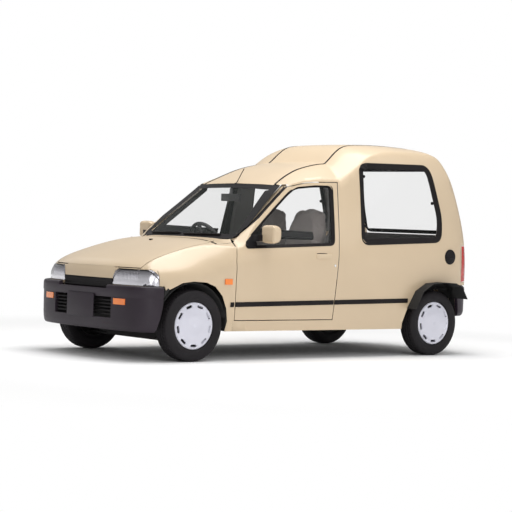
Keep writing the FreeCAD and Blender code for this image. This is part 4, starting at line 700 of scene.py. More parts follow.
def makeTyre(end, side, settings):
    node = "tyre_%s_%s" % (end, side)
    low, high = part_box(node)
    centre = (low + high) / 2
    profile = tyreProfile(settings)
    rows = []
    for step in range(settings["steps"]):
        turn = step / settings["steps"]
        angle = 2 * math.pi * turn
        row = []
        for radius, width in profile:
            if abs(width) < settings["lugHalf"] and radius > settings["lugFrom"]:
                shoulder = abs(width) > settings["shoulderFrom"]
                share, depth = settings["shoulderCut" if shoulder else "ribCut"]
                if (turn * settings["lugs"] + abs(width) * settings["lugSlant"]) % 1 < share:
                    radius -= depth
            row.append(centre + Vector((radius * math.cos(angle), width, radius * math.sin(angle))))
        rows.append(row)
    name = "tread_%s_%s" % (end, side)
    tyre = bandPiece(name, rows, "%s_%s_wheel" % (end, side), tyreRubber, "tyre", closed=True)
    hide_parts(node)


coverInner = 0.63
for end in ("front", "rear"):
    for side, sign in bothSides:
        makeTyre(end, side, tyreSettings)
        dressed("wheel_%s_%s" % (end, side), [wheelSilver, chassisBlack],
                lambda place, normal, sign=sign: 0 if place.y * sign > coverInner else 1, "wheel_paint")
print("wheels made")


# Body panels. Paint is seen from outside, and each limit below bounds one of the darker finishes
finishSettings = {
    "facing": 0.2, "inward": -0.3, "archTop": 0.57, "archInner": 0.60, "tail": (-1.44, 0.31),
    "pillar": (0.12, 0.80), "pillarTop": 0.6, "behind": -0.6, "ledge": 0.3, "cowl": (0.90, 0.79),
    "valance": (1.36, 0.50), "wingTop": 0.35, "wingFront": 0.6, "belt": 0.80, "doorEdge": 0.1,
}


def frameFinish(side, settings):
    def choose(place, normal):
        outward = normal.y * side
        if place.z < settings["archTop"] and place.y * side < settings["archInner"]:
            return 2
        if place.x < settings["tail"][0] and place.z < settings["tail"][1]:
            return 2
        inPillar = place.x > settings["pillar"][0] and place.z > settings["pillar"][1]
        if inPillar and outward < settings["facing"] and normal.z < settings["pillarTop"]:
            return 3
        ledge = outward > -settings["facing"] and normal.z > settings["ledge"]
        if outward > settings["facing"] or ledge or normal.x < settings["behind"]:
            return 0
        return 1 if place.z > settings["archTop"] else 2
    return choose


def frontFinish(settings):
    def choose(place, normal):
        onCowl = place.x < settings["cowl"][0] and place.z > settings["cowl"][1]
        return 0 if onCowl and normal.z > settings["facing"] else 1
    return choose


# Faces that don't face out take underseal: real in the wheel arch, and painted shade on the gap edges by the
# door and bonnet
def wingFinish(settings):
    frontX, lowZ = settings["valance"]

    def choose(place, normal):
        outward = normal.y * (1 if place.y > 0 else -1)
        if place.x > frontX and place.z < lowZ:
            return 1
        facesFront = normal.x > settings["wingFront"] and place.z > lowZ
        shown = outward > settings["inward"] and (normal.z > settings["wingTop"] or facesFront)
        return 0 if outward > settings["facing"] or shown else 1
    return choose


def doorFinish(side, settings):
    def choose(place, normal):
        outward = normal.y * side
        if outward < settings["doorEdge"] and place.z > settings["belt"]:
            return 2
        return 1 if outward < settings["inward"] else 0
    return choose


# Faces that look down take the darker copy of the paint, as painted shade
def bonnetFinish(place, normal):
    return 1 if normal.z < 0 and normal.x < finishSettings["ledge"] else 0


def roofFinish(place, normal):
    return 1 if normal.z < -finishSettings["facing"] else 0


def gateFinish(place, normal):
    return 1 if normal.x > finishSettings["ledge"] else 0


for side, sign in bothSides:
    dressed("side_frame_" + side, [beigePaint, cabinTrim, underseal, blackTrim],
            frameFinish(sign, finishSettings), "body_paint")
    dressed("door_" + side, [beigePaint, cabinTrim, blackTrim], doorFinish(sign, finishSettings), "body_paint")
dressed("front_frame", [beigePaint, underseal], frontFinish(finishSettings), "body_paint")
dressed("front_wings", [beigePaint, underseal], wingFinish(finishSettings), "body_paint")
dressed("bonnet", [beigePaint, jambPaintedShade], bonnetFinish, "body_paint")
dressed("roof_panel", [beigePaint, cabinTrim], roofFinish, "body_paint")
dressed("tailgate", [beigePaint, cabinTrim], gateFinish, "body_paint")
dressed("rear_panel", [beigePaint], None, "body_paint")

# The nose's upper edge is lifted to close the gap under the bonnet
noseSettings = {"edge": 0.001, "up": 0.0052, "back": 0.0011}
nose = dressed("nose_panel", [beigePaint], None, "body_paint")
noseTop = max(vertex.co.z for vertex in nose.data.vertices)
for vertex in nose.data.vertices:
    if vertex.co.z > noseTop - noseSettings["edge"]:
        vertex.co.z += noseSettings["up"]
        vertex.co.x -= noseSettings["back"]

for name, material, slotName in (
        ("grille", blackTrim, "trim_plastic"), ("filler_cap", blackTrim, "trim_plastic"),
        ("turn_signals", amberLens, "amber_lens"), ("tail_lamps", redLens, "red_lens"),
        ("windscreen", screenGlass, "glazing"), ("quarter_glass", quarterGlass, "glazing"),
        ("tailgate_glass", sideGlass, "glazing"), ("door_glass_left", sideGlass, "glazing"),
        ("door_glass_right", sideGlass, "glazing"), ("dashboard", cabinPlastic, "cabin_plastic"),
        ("inside_mirror", cabinPlastic, "cabin_plastic"), ("steering_column", cabinPlastic, "cabin_plastic"),
        ("steering_wheel", cabinPlastic, "cabin_plastic"), ("floor_pan", underseal, "underbody"),
        ("engine_block", castAlloy, "cast_engine"), ("lower_arms", chassisBlack, "chassis_steel"),
        ("rear_axle", chassisBlack, "chassis_steel"), ("knuckle_left", chassisBlack, "chassis_steel"),
        ("knuckle_right", chassisBlack, "chassis_steel"), ("exhaust", pipeSteel, "exhaust_steel"),
        ("fuel_tank", chassisBlack, "chassis_steel"), ("wipers", blackTrim, "trim_plastic"),
        ("headlamps", lampMirror, "lamp_glass")):
    dressed(name, [material], None, slotName)
print("body dressed")


# Bumpers with a rounded top, a crease and a foot that tucks in
bumperSettings = {
    "front": {
        "node": "front_bumper", "direction": 1, "level": 0.470, "middle": 1.10, "wall": 0.032,
        "rows": ((0.205, 0.030), (0.209, 0.021), (0.222, 0.013), (0.250, 0.008), (0.290, 0.005), (0.386, 0.004),
                 (0.427, 0.004), (0.433, 0.004), (0.440, 0.004), (0.447, 0.000), (0.490, 0.000), (0.500, 0.001),
                 (0.509, 0.004), (0.515, 0.010), (0.518, 0.020)),
        "columns": (0.0, 0.1, 0.2, 0.295, 0.322, 0.348, 0.362, 0.376, 0.433, 0.490, 0.510),
        "ends": ((0.200, 1.472), (0.208, 1.470), (0.300, 1.440), (0.417, 1.414), (0.470, 1.4005),
                 (0.550, 1.4005)),
        "holes": ((0.0, 0.348, 0.290, 0.433), (0.0, 0.295, 0.490, 0.600), (0.376, 0.490, 0.386, 0.427))},
    "rear": {
        "node": "rear_bumper", "direction": -1, "level": 0.420, "middle": -1.10, "wall": 0.032,
        "rows": ((0.301, 0.030), (0.305, 0.020), (0.318, 0.010), (0.340, 0.004), (0.455, 0.003), (0.462, 0.000),
                 (0.512, 0.000), (0.526, 0.003), (0.535, 0.010), (0.540, 0.020)),
        "columns": (0.0, 0.1, 0.2, 0.3, 0.4, 0.480),
        "ends": ((0.300, -1.462), (0.440, -1.440), (0.530, -1.406), (0.550, -1.406)),
        "holes": ()},
    "turn": 1.5, "widest": 80, "reach": 2, "spread": 16, "flank": 0.5, "probe": 0.01, "centre": 0.0001,
}


# The value at a place in a list of places and values, which may be numbers or vectors
def between(pairs, value):
    for first, second in zip(pairs, pairs[1:]):
        if value <= second[0]:
            share = (value - first[0]) / (second[0] - first[0])
            return first[1] + (second[1] - first[1]) * max(0, share)
    return pairs[-1][1]


def bumperLine(settings, common):
    skin = Skin(settings["node"])
    centre = Vector((settings["middle"], 0, settings["level"]))
    line = []
    for step in range(round(common["widest"] / common["turn"])):
        angle = math.radians(step * common["turn"])
        way = Vector((math.cos(angle) * settings["direction"], math.sin(angle), 0))
        hit = skin.cast(centre + way * common["reach"], -way, (Vector((0, 0, 1)),))
        if hit is None:
            break
        line.append(Vector((hit.x, hit.y)))
    return line


def bumperRow(settings, common, along, z, deep):
    byWidth = [(point.y, run) for run, point in along]
    byLength = sorted((abs(point.x), run) for run, point in along if point.y > common["flank"])
    last = between(byLength, abs(between(settings["ends"], z)))
    runs = [between(byWidth, y) for y in settings["columns"]]
    start = runs[-1]
    runs += [start + (last - start) * (step + 1) / common["spread"] for step in range(common["spread"])]
    row = []
    for run in runs:
        point = between(along, run)
        ahead = between(along, run + common["probe"])
        behind = between(along, max(0, run - common["probe"]))
        tangent = (ahead - behind).normalized()
        inward = Vector((-tangent.y, tangent.x)) * settings["direction"] * deep
        y = point.y + inward.y if point.y > common["centre"] else 0.0
        row.append(Vector((point.x + inward.x, y, z)))
    return [Vector((point.x, -point.y, point.z)) for point in row[:0:-1]] + row


def makeBumper(name, settings, common):
    line = bumperLine(settings, common)
    runs = [0.0]
    for first, second in zip(line, line[1:]):
        runs.append(runs[-1] + (second - first).length)
    along = list(zip(runs, line))
    points = []
    for layer in (0, 1):
        for z, inset in settings["rows"]:
            points += bumperRow(settings, common, along, z, settings["wall"] if layer else inset)
    wide = 2 * (len(settings["columns"]) + common["spread"]) - 1
    tall = len(settings["rows"])
    sides = [-y for y in settings["columns"][:0:-1]] + list(settings["columns"])

    def isOpen(row, column):
        first = column - common["spread"]
        if first < 0 or first + 1 >= len(sides):
            return False
        y = abs((sides[first] + sides[first + 1]) / 2)
        z = (settings["rows"][row][0] + settings["rows"][row + 1][0]) / 2
        return any(low < y < high and foot < z < top for low, high, foot, top in settings["holes"])

    def isFilled(row, column):
        return 0 <= row < tall - 1 and 0 <= column < wide - 1 and not isOpen(row, column)

    behind = tall * wide
    faces = []
    for row in range(tall - 1):
        for column in range(wide - 1):
            if not isFilled(row, column):
                continue
            corner = row * wide + column
            corners = (corner, corner + 1, corner + wide + 1, corner + wide)
            faces.append(corners)
            faces.append(tuple(behind + index for index in reversed(corners)))
            beside = ((row - 1, column, 0, 1), (row, column + 1, 1, 2), (row + 1, column, 2, 3),
                      (row, column - 1, 3, 0))
            for nextRow, nextColumn, first, second in beside:
                if not isFilled(nextRow, nextColumn):
                    faces.append((corners[second], corners[first], behind + corners[first],
                                  behind + corners[second]))
    piece = addPiece(name, meshFrom(name, points, faces), "body", bumperPlastic, "bumper_plastic")
    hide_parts(settings["node"])


makeBumper("frontBumperShell", bumperSettings["front"], bumperSettings)
makeBumper("rearBumperShell", bumperSettings["rear"], bumperSettings)
print("bumpers made")


# Repeats a small primitive at each given place, by Geometry Nodes
primitives = {
    "cube": ("GeometryNodeMeshCube", {}),
    "rod": ("GeometryNodeMeshCylinder", {"Vertices": 12, "Radius": 0.5, "Depth": 1.0}),
}


def repeated(name, places, primitive, size, material, slot):
    mesh = bpy.data.meshes.new(name)
    mesh.from_pydata([tuple(place) for place in places], [], [])
    carrier = bpy.data.objects.new(name + "Places", mesh)
    bpy.context.scene.collection.objects.link(carrier)
    tree = bpy.data.node_groups.new(name, "GeometryNodeTree")
    for socket, way, kind in (("Geometry", "INPUT", "Geometry"), ("Size", "INPUT", "Vector"),
                              ("Finish", "INPUT", "Material"), ("Geometry", "OUTPUT", "Geometry")):
        tree.interface.new_socket(socket, in_out=way, socket_type="NodeSocket" + kind)
    entry = addNode(tree, "NodeGroupInput")
    leave = addNode(tree, "NodeGroupOutput")
    unit = addNode(tree, *primitives[primitive])
    scatter = addNode(tree, "GeometryNodeInstanceOnPoints")
    real = addNode(tree, "GeometryNodeRealizeInstances")
    finish = addNode(tree, "GeometryNodeSetMaterial")
    wire(tree, (entry, "Geometry", scatter, "Points"), (unit, "Mesh", scatter, "Instance"),
         (entry, "Size", scatter, "Scale"), (scatter, "Instances", real, "Geometry"),
         (real, "Geometry", finish, "Geometry"), (entry, "Finish", finish, "Material"),
         (finish, "Geometry", leave, "Geometry"))
    modifier = carrier.modifiers.new("repeat", "NODES")
    modifier.node_group = tree
    sockets = {item.name: item.identifier for item in tree.interface.items_tree if item.in_out == "INPUT"}
    modifier[sockets["Size"]] = size
    modifier[sockets["Finish"]] = material
    graph = bpy.context.evaluated_depsgraph_get()
    result = bpy.data.meshes.new_from_object(carrier.evaluated_get(graph), depsgraph=graph)
    bpy.data.objects.remove(carrier)
    addPiece(name, result, "body", material, slot)


# Lamps: upright flutes on the headlamps, and level ribs on the tail lamps
ribSettings = {
    "flutes": 17, "fluteInner": 0.318, "fluteStep": 0.0125, "fluteMiddle": 0.573, "fluteLift": 0.0004,
    "fluteSize": (0.003, 0.0045, 0.088),
    "ribs": 9, "ribFoot": 0.600, "ribStep": 0.028, "ribX": -1.515, "ribSize": (0.030, 0.002, 0.004),
}


def makeLampRepeats(side, sign, settings):
    skin = Skin("headlamps")
    flutes = []
    for count in range(settings["flutes"]):
        y = sign * (settings["fluteInner"] + count * settings["fluteStep"])
        flutes.append(skin.fromFront(y, settings["fluteMiddle"]) + Vector((settings["fluteLift"], 0, 0)))
    repeated("lampFlutes_" + side, flutes, "rod", settings["fluteSize"], lampMirror, "lamp_glass")
    skin = Skin("tail_lamps")
    ribs = [skin.fromSide(settings["ribX"], settings["ribFoot"] + count * settings["ribStep"], sign)
            for count in range(settings["ribs"])]
    repeated("tailLampRibs_" + side, ribs, "cube", settings["ribSize"], redLens, "red_lens")


# Trim on a headlamp lies on its front or on its side
def lampSpot(skin, kind, sign, spot):
    if kind == "front":
        return skin.fromFront(sign * spot.x, spot.y)
    return skin.fromSide(spot.x, spot.y, sign)


def lampOutward(kind, sign):
    return Vector((1, 0, 0)) if kind == "front" else Vector((0, sign, 0))


# The painted corners that round off each headlamp
cornerSettings = {
    "side": {"corner": (1.4345, 0.6365), "low": (1.4345, 0.566), "high": (1.500, 0.6365), "ahead": 0.0006},
    "front": {"corner": (0.2945, 0.6365), "low": (0.2945, 0.545), "high": (0.362, 0.6365), "ahead": 0},
    "lift": 0.0016, "steps": 14, "rings": 6, "depth": 0.004,
}


def makeLampCorner(name, sign, kind, settings):
    skin = Skin("headlamps", "front_wings", "bonnet")
    shape = settings[kind]
    corner, low, high = (Vector(shape[key]) for key in ("corner", "low", "high"))
    inmost = low + high - corner
    away = lampOutward(kind, sign)
    lift = away * settings["lift"] + Vector((shape["ahead"], 0, 0))
    rows = []
    for step in range(settings["steps"] + 1):
        angle = math.pi / 2 * step / settings["steps"]
        arc = inmost + (low - inmost) * math.cos(angle) + (high - inmost) * math.sin(angle)
        spots = [corner.lerp(arc, ring / settings["rings"]) for ring in range(settings["rings"] + 1)]
        row = [lampSpot(skin, kind, sign, spot) + lift for spot in spots]
        rows.append(row + [point - away * settings["depth"] for point in reversed(row)])
    bandPiece(name, rows, "body", beigePaint, "body_paint")


# A dark rim along the brow and outer edge of each headlamp
rimSettings = {
    "front": ((0.300, 0.535), (0.300, 0.562), (0.350, 0.624), (0.500, 0.626)),
    "side": ((1.520, 0.6265), (1.497, 0.6265), (1.4375, 0.563), (1.4375, 0.530)),
    "profile": ((-1, -0.5), (-1, 0.6), (0, 1), (1, 0.6), (1, -0.5)),
    "half": 0.0028, "lift": 0.0022, "radius": 0.055, "step": 0.006,
}


def alongAt(line, index):
    return (line[min(index + 1, len(line) - 1)] - line[max(index - 1, 0)]).normalized()


def makeLampRim(name, sign, kind, settings):
    skin = Skin("headlamps")
    line = sampled(settings[kind], settings["radius"], settings["step"], closed=False)
    away = lampOutward(kind, sign) * settings["lift"]
    rows = []
    for index, point in enumerate(line):
        along = alongAt(line, index)
        across = Vector((-along.y, along.x)) * settings["half"]
        rows.append([lampSpot(skin, kind, sign, point + across * share) + away * lift
                     for share, lift in settings["profile"]])
    bandPiece(name, rows, "body", blackTrim, "trim_plastic")


# A wheelhouse over each rear wheel, closing the arch from the load floor
houseSettings = {
    "arch": ((-0.890, 0.364), (-0.964, 0.497), (-1.067, 0.555), (-1.193, 0.565), (-1.312, 0.560),
             (-1.380, 0.530), (-1.440, 0.440)),
    "inner": 0.484, "outer": 0.772, "wall": 0.004, "foot": 0.505,
}


def makeWheelHouse(name, sign, settings):
    arch = [Vector(point) for point in settings["arch"]]
    inner, outer, wall, foot = (settings[key] for key in ("inner", "outer", "wall", "foot"))
    roof = []
    plate = []
    for index, point in enumerate(arch):
        along = alongAt(arch, index)
        over = point + Vector((along.y, -along.x)) * wall
        ring = ((inner, point), (outer, point), (outer, over), (inner, over))
        roof.append([Vector((spot.x, sign * y, spot.y)) for y, spot in ring])
        if point.y > foot:
            top = point.y + wall
            ring = ((inner, foot), (inner, top), (inner + wall, top), (inner + wall, foot))
            plate.append([Vector((point.x, sign * y, z)) for y, z in ring])
    bandPiece(name, roof, "body", underseal, "underbody")
    bandPiece(name + "Plate", plate, "body", underseal, "underbody")


for side, sign in bothSides:
    makeWheelHouse("wheelHouse_" + side, sign, houseSettings)
    makeLampRim("lampRimFront_" + side, sign, "front", rimSettings)
    makeLampRim("lampRimSide_" + side, sign, "side", rimSettings)
    makeLampRepeats(side, sign, ribSettings)
    makeLampCorner("lampCornerOuter_" + side, sign, "side", cornerSettings)
    makeLampCorner("lampCornerInner_" + side, sign, "front", cornerSettings)
print("wheelhouses and lamps made")


# The radiator behind the lower grille, with its fins, and the blank number plate in front of it
radiatorSettings = {
    "low": (1.385, -0.330, 0.235), "high": (1.425, 0.330, 0.545), "bevel": 0.004,
    "fins": 60, "finHalf": 0.31, "finMiddle": 0.39, "finSize": (0.006, 0.003, 0.290),
    "plateLow": (1.6495, -0.165, 0.283), "plateHigh": (1.6525, 0.165, 0.448), "plateBevel": 0.001,
}


def makeRadiator(settings):
    boxPiece("radiator", settings["low"], settings["high"], "body", chassisBlack, "chassis_steel",
             settings["bevel"])
    step = 2 * settings["finHalf"] / (settings["fins"] - 1)
    fins = [(settings["high"][0], -settings["finHalf"] + step * count, settings["finMiddle"])
            for count in range(settings["fins"])]
    repeated("radiatorFins", fins, "cube", settings["finSize"], chassisBlack, "chassis_steel")
    boxPiece("frontPlate", settings["plateLow"], settings["plateHigh"], "body", bumperPlastic, "trim_plastic",
             settings["plateBevel"])


makeRadiator(radiatorSettings)
print("radiator made")


# The aerial, washer nozzle, window latches and the grip on the filler cap
fittingSettings = {
    "aerialFoot": (0.291, 0.0), "aerialTip": (0.217, 0.0, 1.379), "aerialRadius": 0.0032, "aerialSunk": 0.002,
    "socketRadius": 0.012, "socketEdge": 0.004, "socketTop": 0.008, "aerialSides": 12,
    "nozzle": (1.058, 0.0), "nozzleLow": (-0.012, -0.010, -0.002), "nozzleHigh": (0.012, 0.010, 0.008),
    "latches": ((-0.430, 0.982), (-1.140, 1.175), (-0.430, 1.352)), "latchSides": 20,
    "latchProfile": ((0.0, 0.006), (0.008, 0.006), (0.011, 0.004), (0.012, 0.0), (0.012, -0.010),
                     (0.0, -0.010)),
    "cap": (-1.325, 0.764), "gripLow": (-0.040, -0.003, -0.008), "gripHigh": (0.040, 0.007, 0.008),
    "bevel": 0.003,
}


def makeBlock(name, place, low, high, body):
    boxPiece(name, place + Vector(low), place + Vector(high), body, blackTrim, "trim_plastic",
             fittingSettings["bevel"])


def makeFittings(settings):
    foot = Skin("roof_panel", "windscreen").fromAbove(*settings["aerialFoot"])
    foot -= Vector((0, 0, settings["aerialSunk"]))
    mast = Vector(settings["aerialTip"]) - foot
    thick = settings["socketRadius"]
    thin = settings["aerialRadius"]
    profile = ((0.0, 0.0), (thick, 0.0), (thick, settings["socketEdge"]), (thin, settings["socketTop"]),
               (thin, mast.length), (0.0, mast.length + thin))
    discPiece("aerial", foot, mast, profile, settings["aerialSides"], "body", blackTrim, "trim_plastic")
    place = Skin("bonnet").fromAbove(*settings["nozzle"])
    makeBlock("washerNozzle", place, settings["nozzleLow"], settings["nozzleHigh"], "bonnet_lid")
    skin = Skin("quarter_glass")
    for side, sign in bothSides:
        for count, (x, z) in enumerate(settings["latches"]):
            discPiece("latch_%s_%d" % (side, count), skin.fromSide(x, z, sign), Vector((0, sign, 0)),
                      settings["latchProfile"], settings["latchSides"], "body", blackTrim, "trim_plastic")
    place = Skin("filler_cap").fromSide(*settings["cap"])
    makeBlock("capGrip", place, settings["gripLow"], settings["gripHigh"], "body")


makeFittings(fittingSettings)
print("fittings made")


# Door mirrors: a black sail panel with a painted housing on it, which is drawn out to a rounder form
housingSettings = {
    "paintFrom": 0.664, "paintBehind": 0.60, "start": 0.662, "full": 0.690, "inset": 0.02, "power": 3.2,
    "longest": 0.009, "turns": 5, "sharpDegrees": 50,
}


def mirrorFinish(sign, settings):
    def choose(place, normal):
        return 0 if place.y * sign > settings["paintFrom"] and place.x < settings["paintBehind"] else 1
    return choose


def roundHousing(mesh, sign, settings):
    start, full, power = (settings[key] for key in ("start", "full", "power"))
    work = bmesh.new()
    work.from_mesh(mesh)
    for turn in range(settings["turns"]):
        edges = [edge for edge in work.edges if edge.calc_length() > settings["longest"]
                 and all(vertex.co.y * sign > start for vertex in edge.verts)]
        bmesh.ops.subdivide_edges(work, edges=edges, cuts=1)
        bmesh.ops.triangulate(work, faces=[face for face in work.faces if len(face.verts) > 3])
    housing = [vertex for vertex in work.verts if vertex.co.y * sign > full - settings["inset"]]
    low = Vector([min(vertex.co[axis] for vertex in housing) for axis in range(3)])
    high = Vector([max(vertex.co[axis] for vertex in housing) for axis in range(3)])
    centre = (low + high) / 2
    half = (high - low) / 2
    for vertex in work.verts:
        reach = vertex.co.y * sign
        if reach <= start:
            continue
        share = min(1, (reach - start) / (full - start))
        away = vertex.co - centre
        size = sum(abs(away[axis] / half[axis]) ** power for axis in range(3)) ** (1 / power)
        vertex.co = vertex.co.lerp(centre + away / max(size, 1.0), share)
    work.to_mesh(mesh)
    work.free()
    mesh.polygons.foreach_set("use_smooth", [True] * len(mesh.polygons))
    mesh.set_sharp_from_angle(angle=math.radians(settings["sharpDegrees"]))


for side, sign in bothSides:
    shell = dressed("door_mirror_" + side, [beigePaint, blackTrim], mirrorFinish(sign, housingSettings),
                    "body_paint")
    roundHousing(shell.data, sign, housingSettings)
print("mirrors made")


# Seats, padded. The back rises from the hip to a rounded top and the cushion runs forward from it
seatSettings = {
    "places": (("left", 0.300, -0.230), ("right", -0.300, -0.350)), "width": 0.455, "base": 0.360,
    "top": 1.110, "lean": 0.130, "depth": 0.110, "steps": 26, "parts": 28,
    "back": {
        "foot": 0.12, "leanPower": 1.1, "forward": 0.015, "width": 0.96, "narrowing": 0.06, "headFrom": 0.66,
        "headNarrowing": 0.34, "headPower": 1.4, "crownFrom": 0.93, "crownWidth": 0.03, "crownDepth": 0.05,
        "depth": 1.05, "thinning": 0.35, "square": 0.45, "flat": 0.7, "bolster": 0.012},
    "cushion": {
        "length": 0.480, "behind": 0.03, "endFrom": 0.9, "end": 0.06, "startTo": 0.04, "start": 0.8,
        "width": 0.98, "endWidth": 0.92, "height": 0.078, "middle": 0.082, "rise": 0.02,
        "square": 0.4, "flat": 0.55, "bolster": 0.014},
    "frameFrom": 0.03, "frameTo": 0.40, "frameHalf": 0.18, "frameLow": 0.2303, "frameHigh": 0.363,
    "frameBevel": 0.012, "fill": 0.8,
}


# Fades to its least value from a share of the way on, as a circle does
def roundedEnd(share, start, least):
    return 1.0 if share <= start else math.sqrt(max(least, 1 - ((share - start) / (1 - start)) ** 2))


def padRing(wide, deep, half, shape, parts):
    ring = []
    for part in range(parts):
        angle = 2 * math.pi * part / parts
        c, s = math.cos(angle), math.sin(angle)
        across = math.copysign(abs(c) ** shape["square"], c) * wide
        lift = math.copysign(abs(s) ** shape["flat"], s) * deep
        if s > 0:
            lift += shape["bolster"] * (abs(across) / half) ** 4
        ring.append((across, lift))
    return ring


def seatShape(name, x, y, settings):
    hip = x + settings["lean"]
    half = settings["width"] / 2
    back, cushion = settings["back"], settings["cushion"]
    foot = settings["base"] + back["foot"]
    backRows = []
    cushionRows = []
    for step in range(settings["steps"] + 1):
        share = step / settings["steps"]
        z = foot + (settings["top"] - foot) * share
        middle = hip + (x - hip) * share ** back["leanPower"] + back["forward"]
        head = max(0.0, (share - back["headFrom"]) / (1 - back["headFrom"]))
        wide = half * (back["width"] - back["narrowing"] * share)
        wide *= 1 - back["headNarrowing"] * head ** back["headPower"]
        wide *= roundedEnd(share, back["crownFrom"], back["crownWidth"])
        deep = settings["depth"] / 2 * (back["depth"] - back["thinning"] * share)
        deep *= roundedEnd(share, back["crownFrom"], back["crownDepth"])
        ring = padRing(wide, deep, half, back, settings["parts"])
        backRows.append([Vector((middle + lift, y + across, z)) for across, lift in ring])
        place = hip - cushion["behind"] + (cushion["length"] + cushion["behind"]) * share
        end = roundedEnd(share, cushion["endFrom"], cushion["end"])
        if share < cushion["startTo"]:
            end = cushion["start"]
        wide = half * cushion["width"] * (cushion["endWidth"] + (1 - cushion["endWidth"]) * end)
        level = settings["base"] + cushion["middle"] + cushion["rise"] * share
        ring = padRing(wide, cushion["height"] * end, half, cushion, settings["parts"])
        cushionRows.append([Vector((place, y + across, level + lift)) for across, lift in ring])
    points, faces = band(backRows)
    more, moreFaces = band(cushionRows)
    faces += [tuple(len(points) + index for index in face) for face in moreFaces]
    return meshFrom(name, points + more, faces)


# The cover of a pad is drawn tight over its filling, by a short cloth simulation
clothSettings = {"voxel": 0.006, "pressure": 4.0, "frames": 20, "cap": 0.024}


def stuffed(mesh, settings):
    pad = bpy.data.objects.new("pad", mesh)
    bpy.context.scene.collection.objects.link(pad)
    shell = pad.modifiers.new("shell", "REMESH")
    shell.mode = "VOXEL"
    shell.voxel_size = settings["voxel"]
    graph = bpy.context.evaluated_depsgraph_get()
    dense = bpy.data.meshes.new_from_object(pad.evaluated_get(graph), depsgraph=graph)
    pad.modifiers.clear()
    pad.data = dense
    rest = [vertex.co.copy() for vertex in dense.vertices]
    cover = pad.modifiers.new("cover", "CLOTH")
    cover.settings.use_pressure = True
    cover.settings.uniform_pressure_force = settings["pressure"]
    cover.settings.effector_weights.gravity = 0
    cover.point_cache.frame_end = settings["frames"]
    for frameNumber in range(1, settings["frames"] + 1):
        bpy.context.scene.frame_set(frameNumber)
    graph = bpy.context.evaluated_depsgraph_get()
    moved = [vertex.co.copy() for vertex in pad.evaluated_get(graph).data.vertices]
    bpy.data.objects.remove(pad)
    for vertex, first, last in zip(dense.vertices, rest, moved):
        shift = last - first
        if shift.length > settings["cap"]:
            shift *= settings["cap"] / shift.length
        vertex.co = first + shift
    bpy.context.scene.frame_set(1)
    return dense


def makeSeat(side, x, y, mesh, settings):
    seat = addPiece("seat_" + side, mesh, "body", seatCloth, "seat_cloth")
    fine = seat.modifiers.new("fine", "SUBSURF")
    fine.levels = 1
    fine.render_levels = 1
    hip = x + settings["lean"]
    low = (hip + settings["frameFrom"], y - settings["frameHalf"], settings["frameLow"])
    high = (hip + settings["frameTo"], y + settings["frameHalf"], settings["frameHigh"])
    base = addPiece("seatFrame_" + side, boxMesh("seatFrame", low, high), "body", chassisBlack,
                    "cabin_plastic", smooth=False)
    bevel = base.modifiers.new("edges", "BEVEL")
    bevel.width = settings["frameBevel"]
    bevel.segments = meshSettings["bevelSegments"]
    return seat


firstSide, firstY, firstX = seatSettings["places"][0]
padMesh = stuffed(seatShape("pad", firstX, firstY, seatSettings), clothSettings)
for side, y, x in seatSettings["places"]:
    seatMesh = padMesh.copy()
    seatMesh.transform(Matrix.Translation((x - firstX, y - firstY, 0)))
    seat = makeSeat(side, x, y, seatMesh, seatSettings)
    if side == firstSide:
        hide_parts("front_seats")
print("seats made")


# Floor, background and lights. Each lamp has a place, a size and a power
stageSettings = {
    "floorHalf": 60.0, "floorColour": (0.92, 0.92, 0.92, 1), "fadeFrom": 2.6, "fadeTo": 4.6,
    "white": (1, 1, 1, 1), "worldStrength": 0.42, "aimHeight": 0.6,
    "lamps": (((0.0, 0.2, 5.2), 5.0, 270), ((4.0, 9.5, 4.2), 9.0, 330), ((-6.0, 6.0, 4.0), 5.0, 70),
              ((1.0, -7.0, 4.5), 5.0, 30)),
}


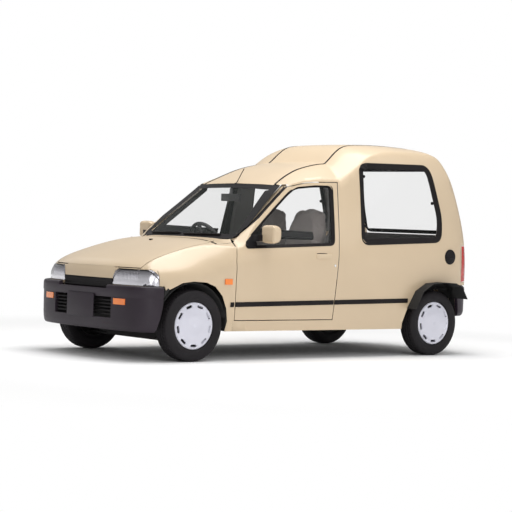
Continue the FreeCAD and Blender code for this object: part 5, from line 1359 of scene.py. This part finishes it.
# The floor fades to white around the car and is clear from below
def makeFloor(settings):
    half = settings["floorHalf"]
    corners = [(-half, -half, 0), (half, -half, 0), (half, half, 0), (-half, half, 0)]
    mesh = meshFrom("floor", corners, [(0, 1, 2, 3)])
    floor = bpy.data.objects.new("floor", mesh)
    bpy.context.scene.collection.objects.link(floor)
    material, tree, shader = newMaterial("paleFloor")
    fill(shader, {"Base Color": settings["floorColour"], "Roughness": 1.0, "Specular IOR Level": 0.0})
    place = addNode(tree, "ShaderNodeTexCoord")
    length = addNode(tree, "ShaderNodeVectorMath")
    length.operation = "LENGTH"
    limits = {"From Min": settings["fadeFrom"], "From Max": settings["fadeTo"]}
    fade = addNode(tree, "ShaderNodeMapRange", limits)
    fade.interpolation_type = "SMOOTHSTEP"
    glow = addNode(tree, "ShaderNodeEmission", {"Color": settings["white"]})
    both = addNode(tree, "ShaderNodeMixShader")
    side = addNode(tree, "ShaderNodeNewGeometry")
    clear = addNode(tree, "ShaderNodeBsdfTransparent")
    seen = addNode(tree, "ShaderNodeMixShader")
    wire(tree, (place, "Object", length, 0), (length, "Value", fade, "Value"), (fade, "Result", both, "Fac"),
         (shader, "BSDF", both, 1), (glow, "Emission", both, 2), (side, "Backfacing", seen, "Fac"),
         (both, "Shader", seen, 1), (clear, "BSDF", seen, 2),
         (seen, "Shader", tree.nodes["Material Output"], "Surface"))
    mesh.materials.append(material)


# The camera and clear panes see pure white, and the world lights the car more softly
def makeWorld(settings):
    world = bpy.data.worlds.new("studio")
    bpy.context.scene.world = world
    world.use_nodes = True
    tree = world.node_tree
    background = tree.nodes["Background"]
    fill(background, {"Color": settings["white"], "Strength": settings["worldStrength"]})
    white = addNode(tree, "ShaderNodeBackground", {"Color": settings["white"], "Strength": 1.0})
    path = addNode(tree, "ShaderNodeLightPath")
    most = addNode(tree, "ShaderNodeMath")
    most.operation = "MAXIMUM"
    mix = addNode(tree, "ShaderNodeMixShader")
    wire(tree, (path, "Is Camera Ray", most, 0), (path, "Is Transmission Ray", most, 1),
         (most, "Value", mix, "Fac"), (background, "Background", mix, 1), (white, "Background", mix, 2),
         (mix, "Shader", tree.nodes["World Output"], "Surface"))


def makeLamps(settings):
    for index, (place, size, power) in enumerate(settings["lamps"]):
        data = bpy.data.lights.new("lamp%d" % index, "AREA")
        data.shape = "DISK"
        data.size = size
        data.energy = power
        lamp = bpy.data.objects.new("lamp%d" % index, data)
        lamp.location = place
        aim = Vector(place) - Vector((0, 0, settings["aimHeight"]))
        lamp.rotation_euler = aim.to_track_quat("Z", "Y").to_euler()
        bpy.context.scene.collection.objects.link(lamp)


makeFloor(stageSettings)
makeWorld(stageSettings)
makeLamps(stageSettings)
bpy.context.scene.view_settings.view_transform = "Standard"
print("stage set")
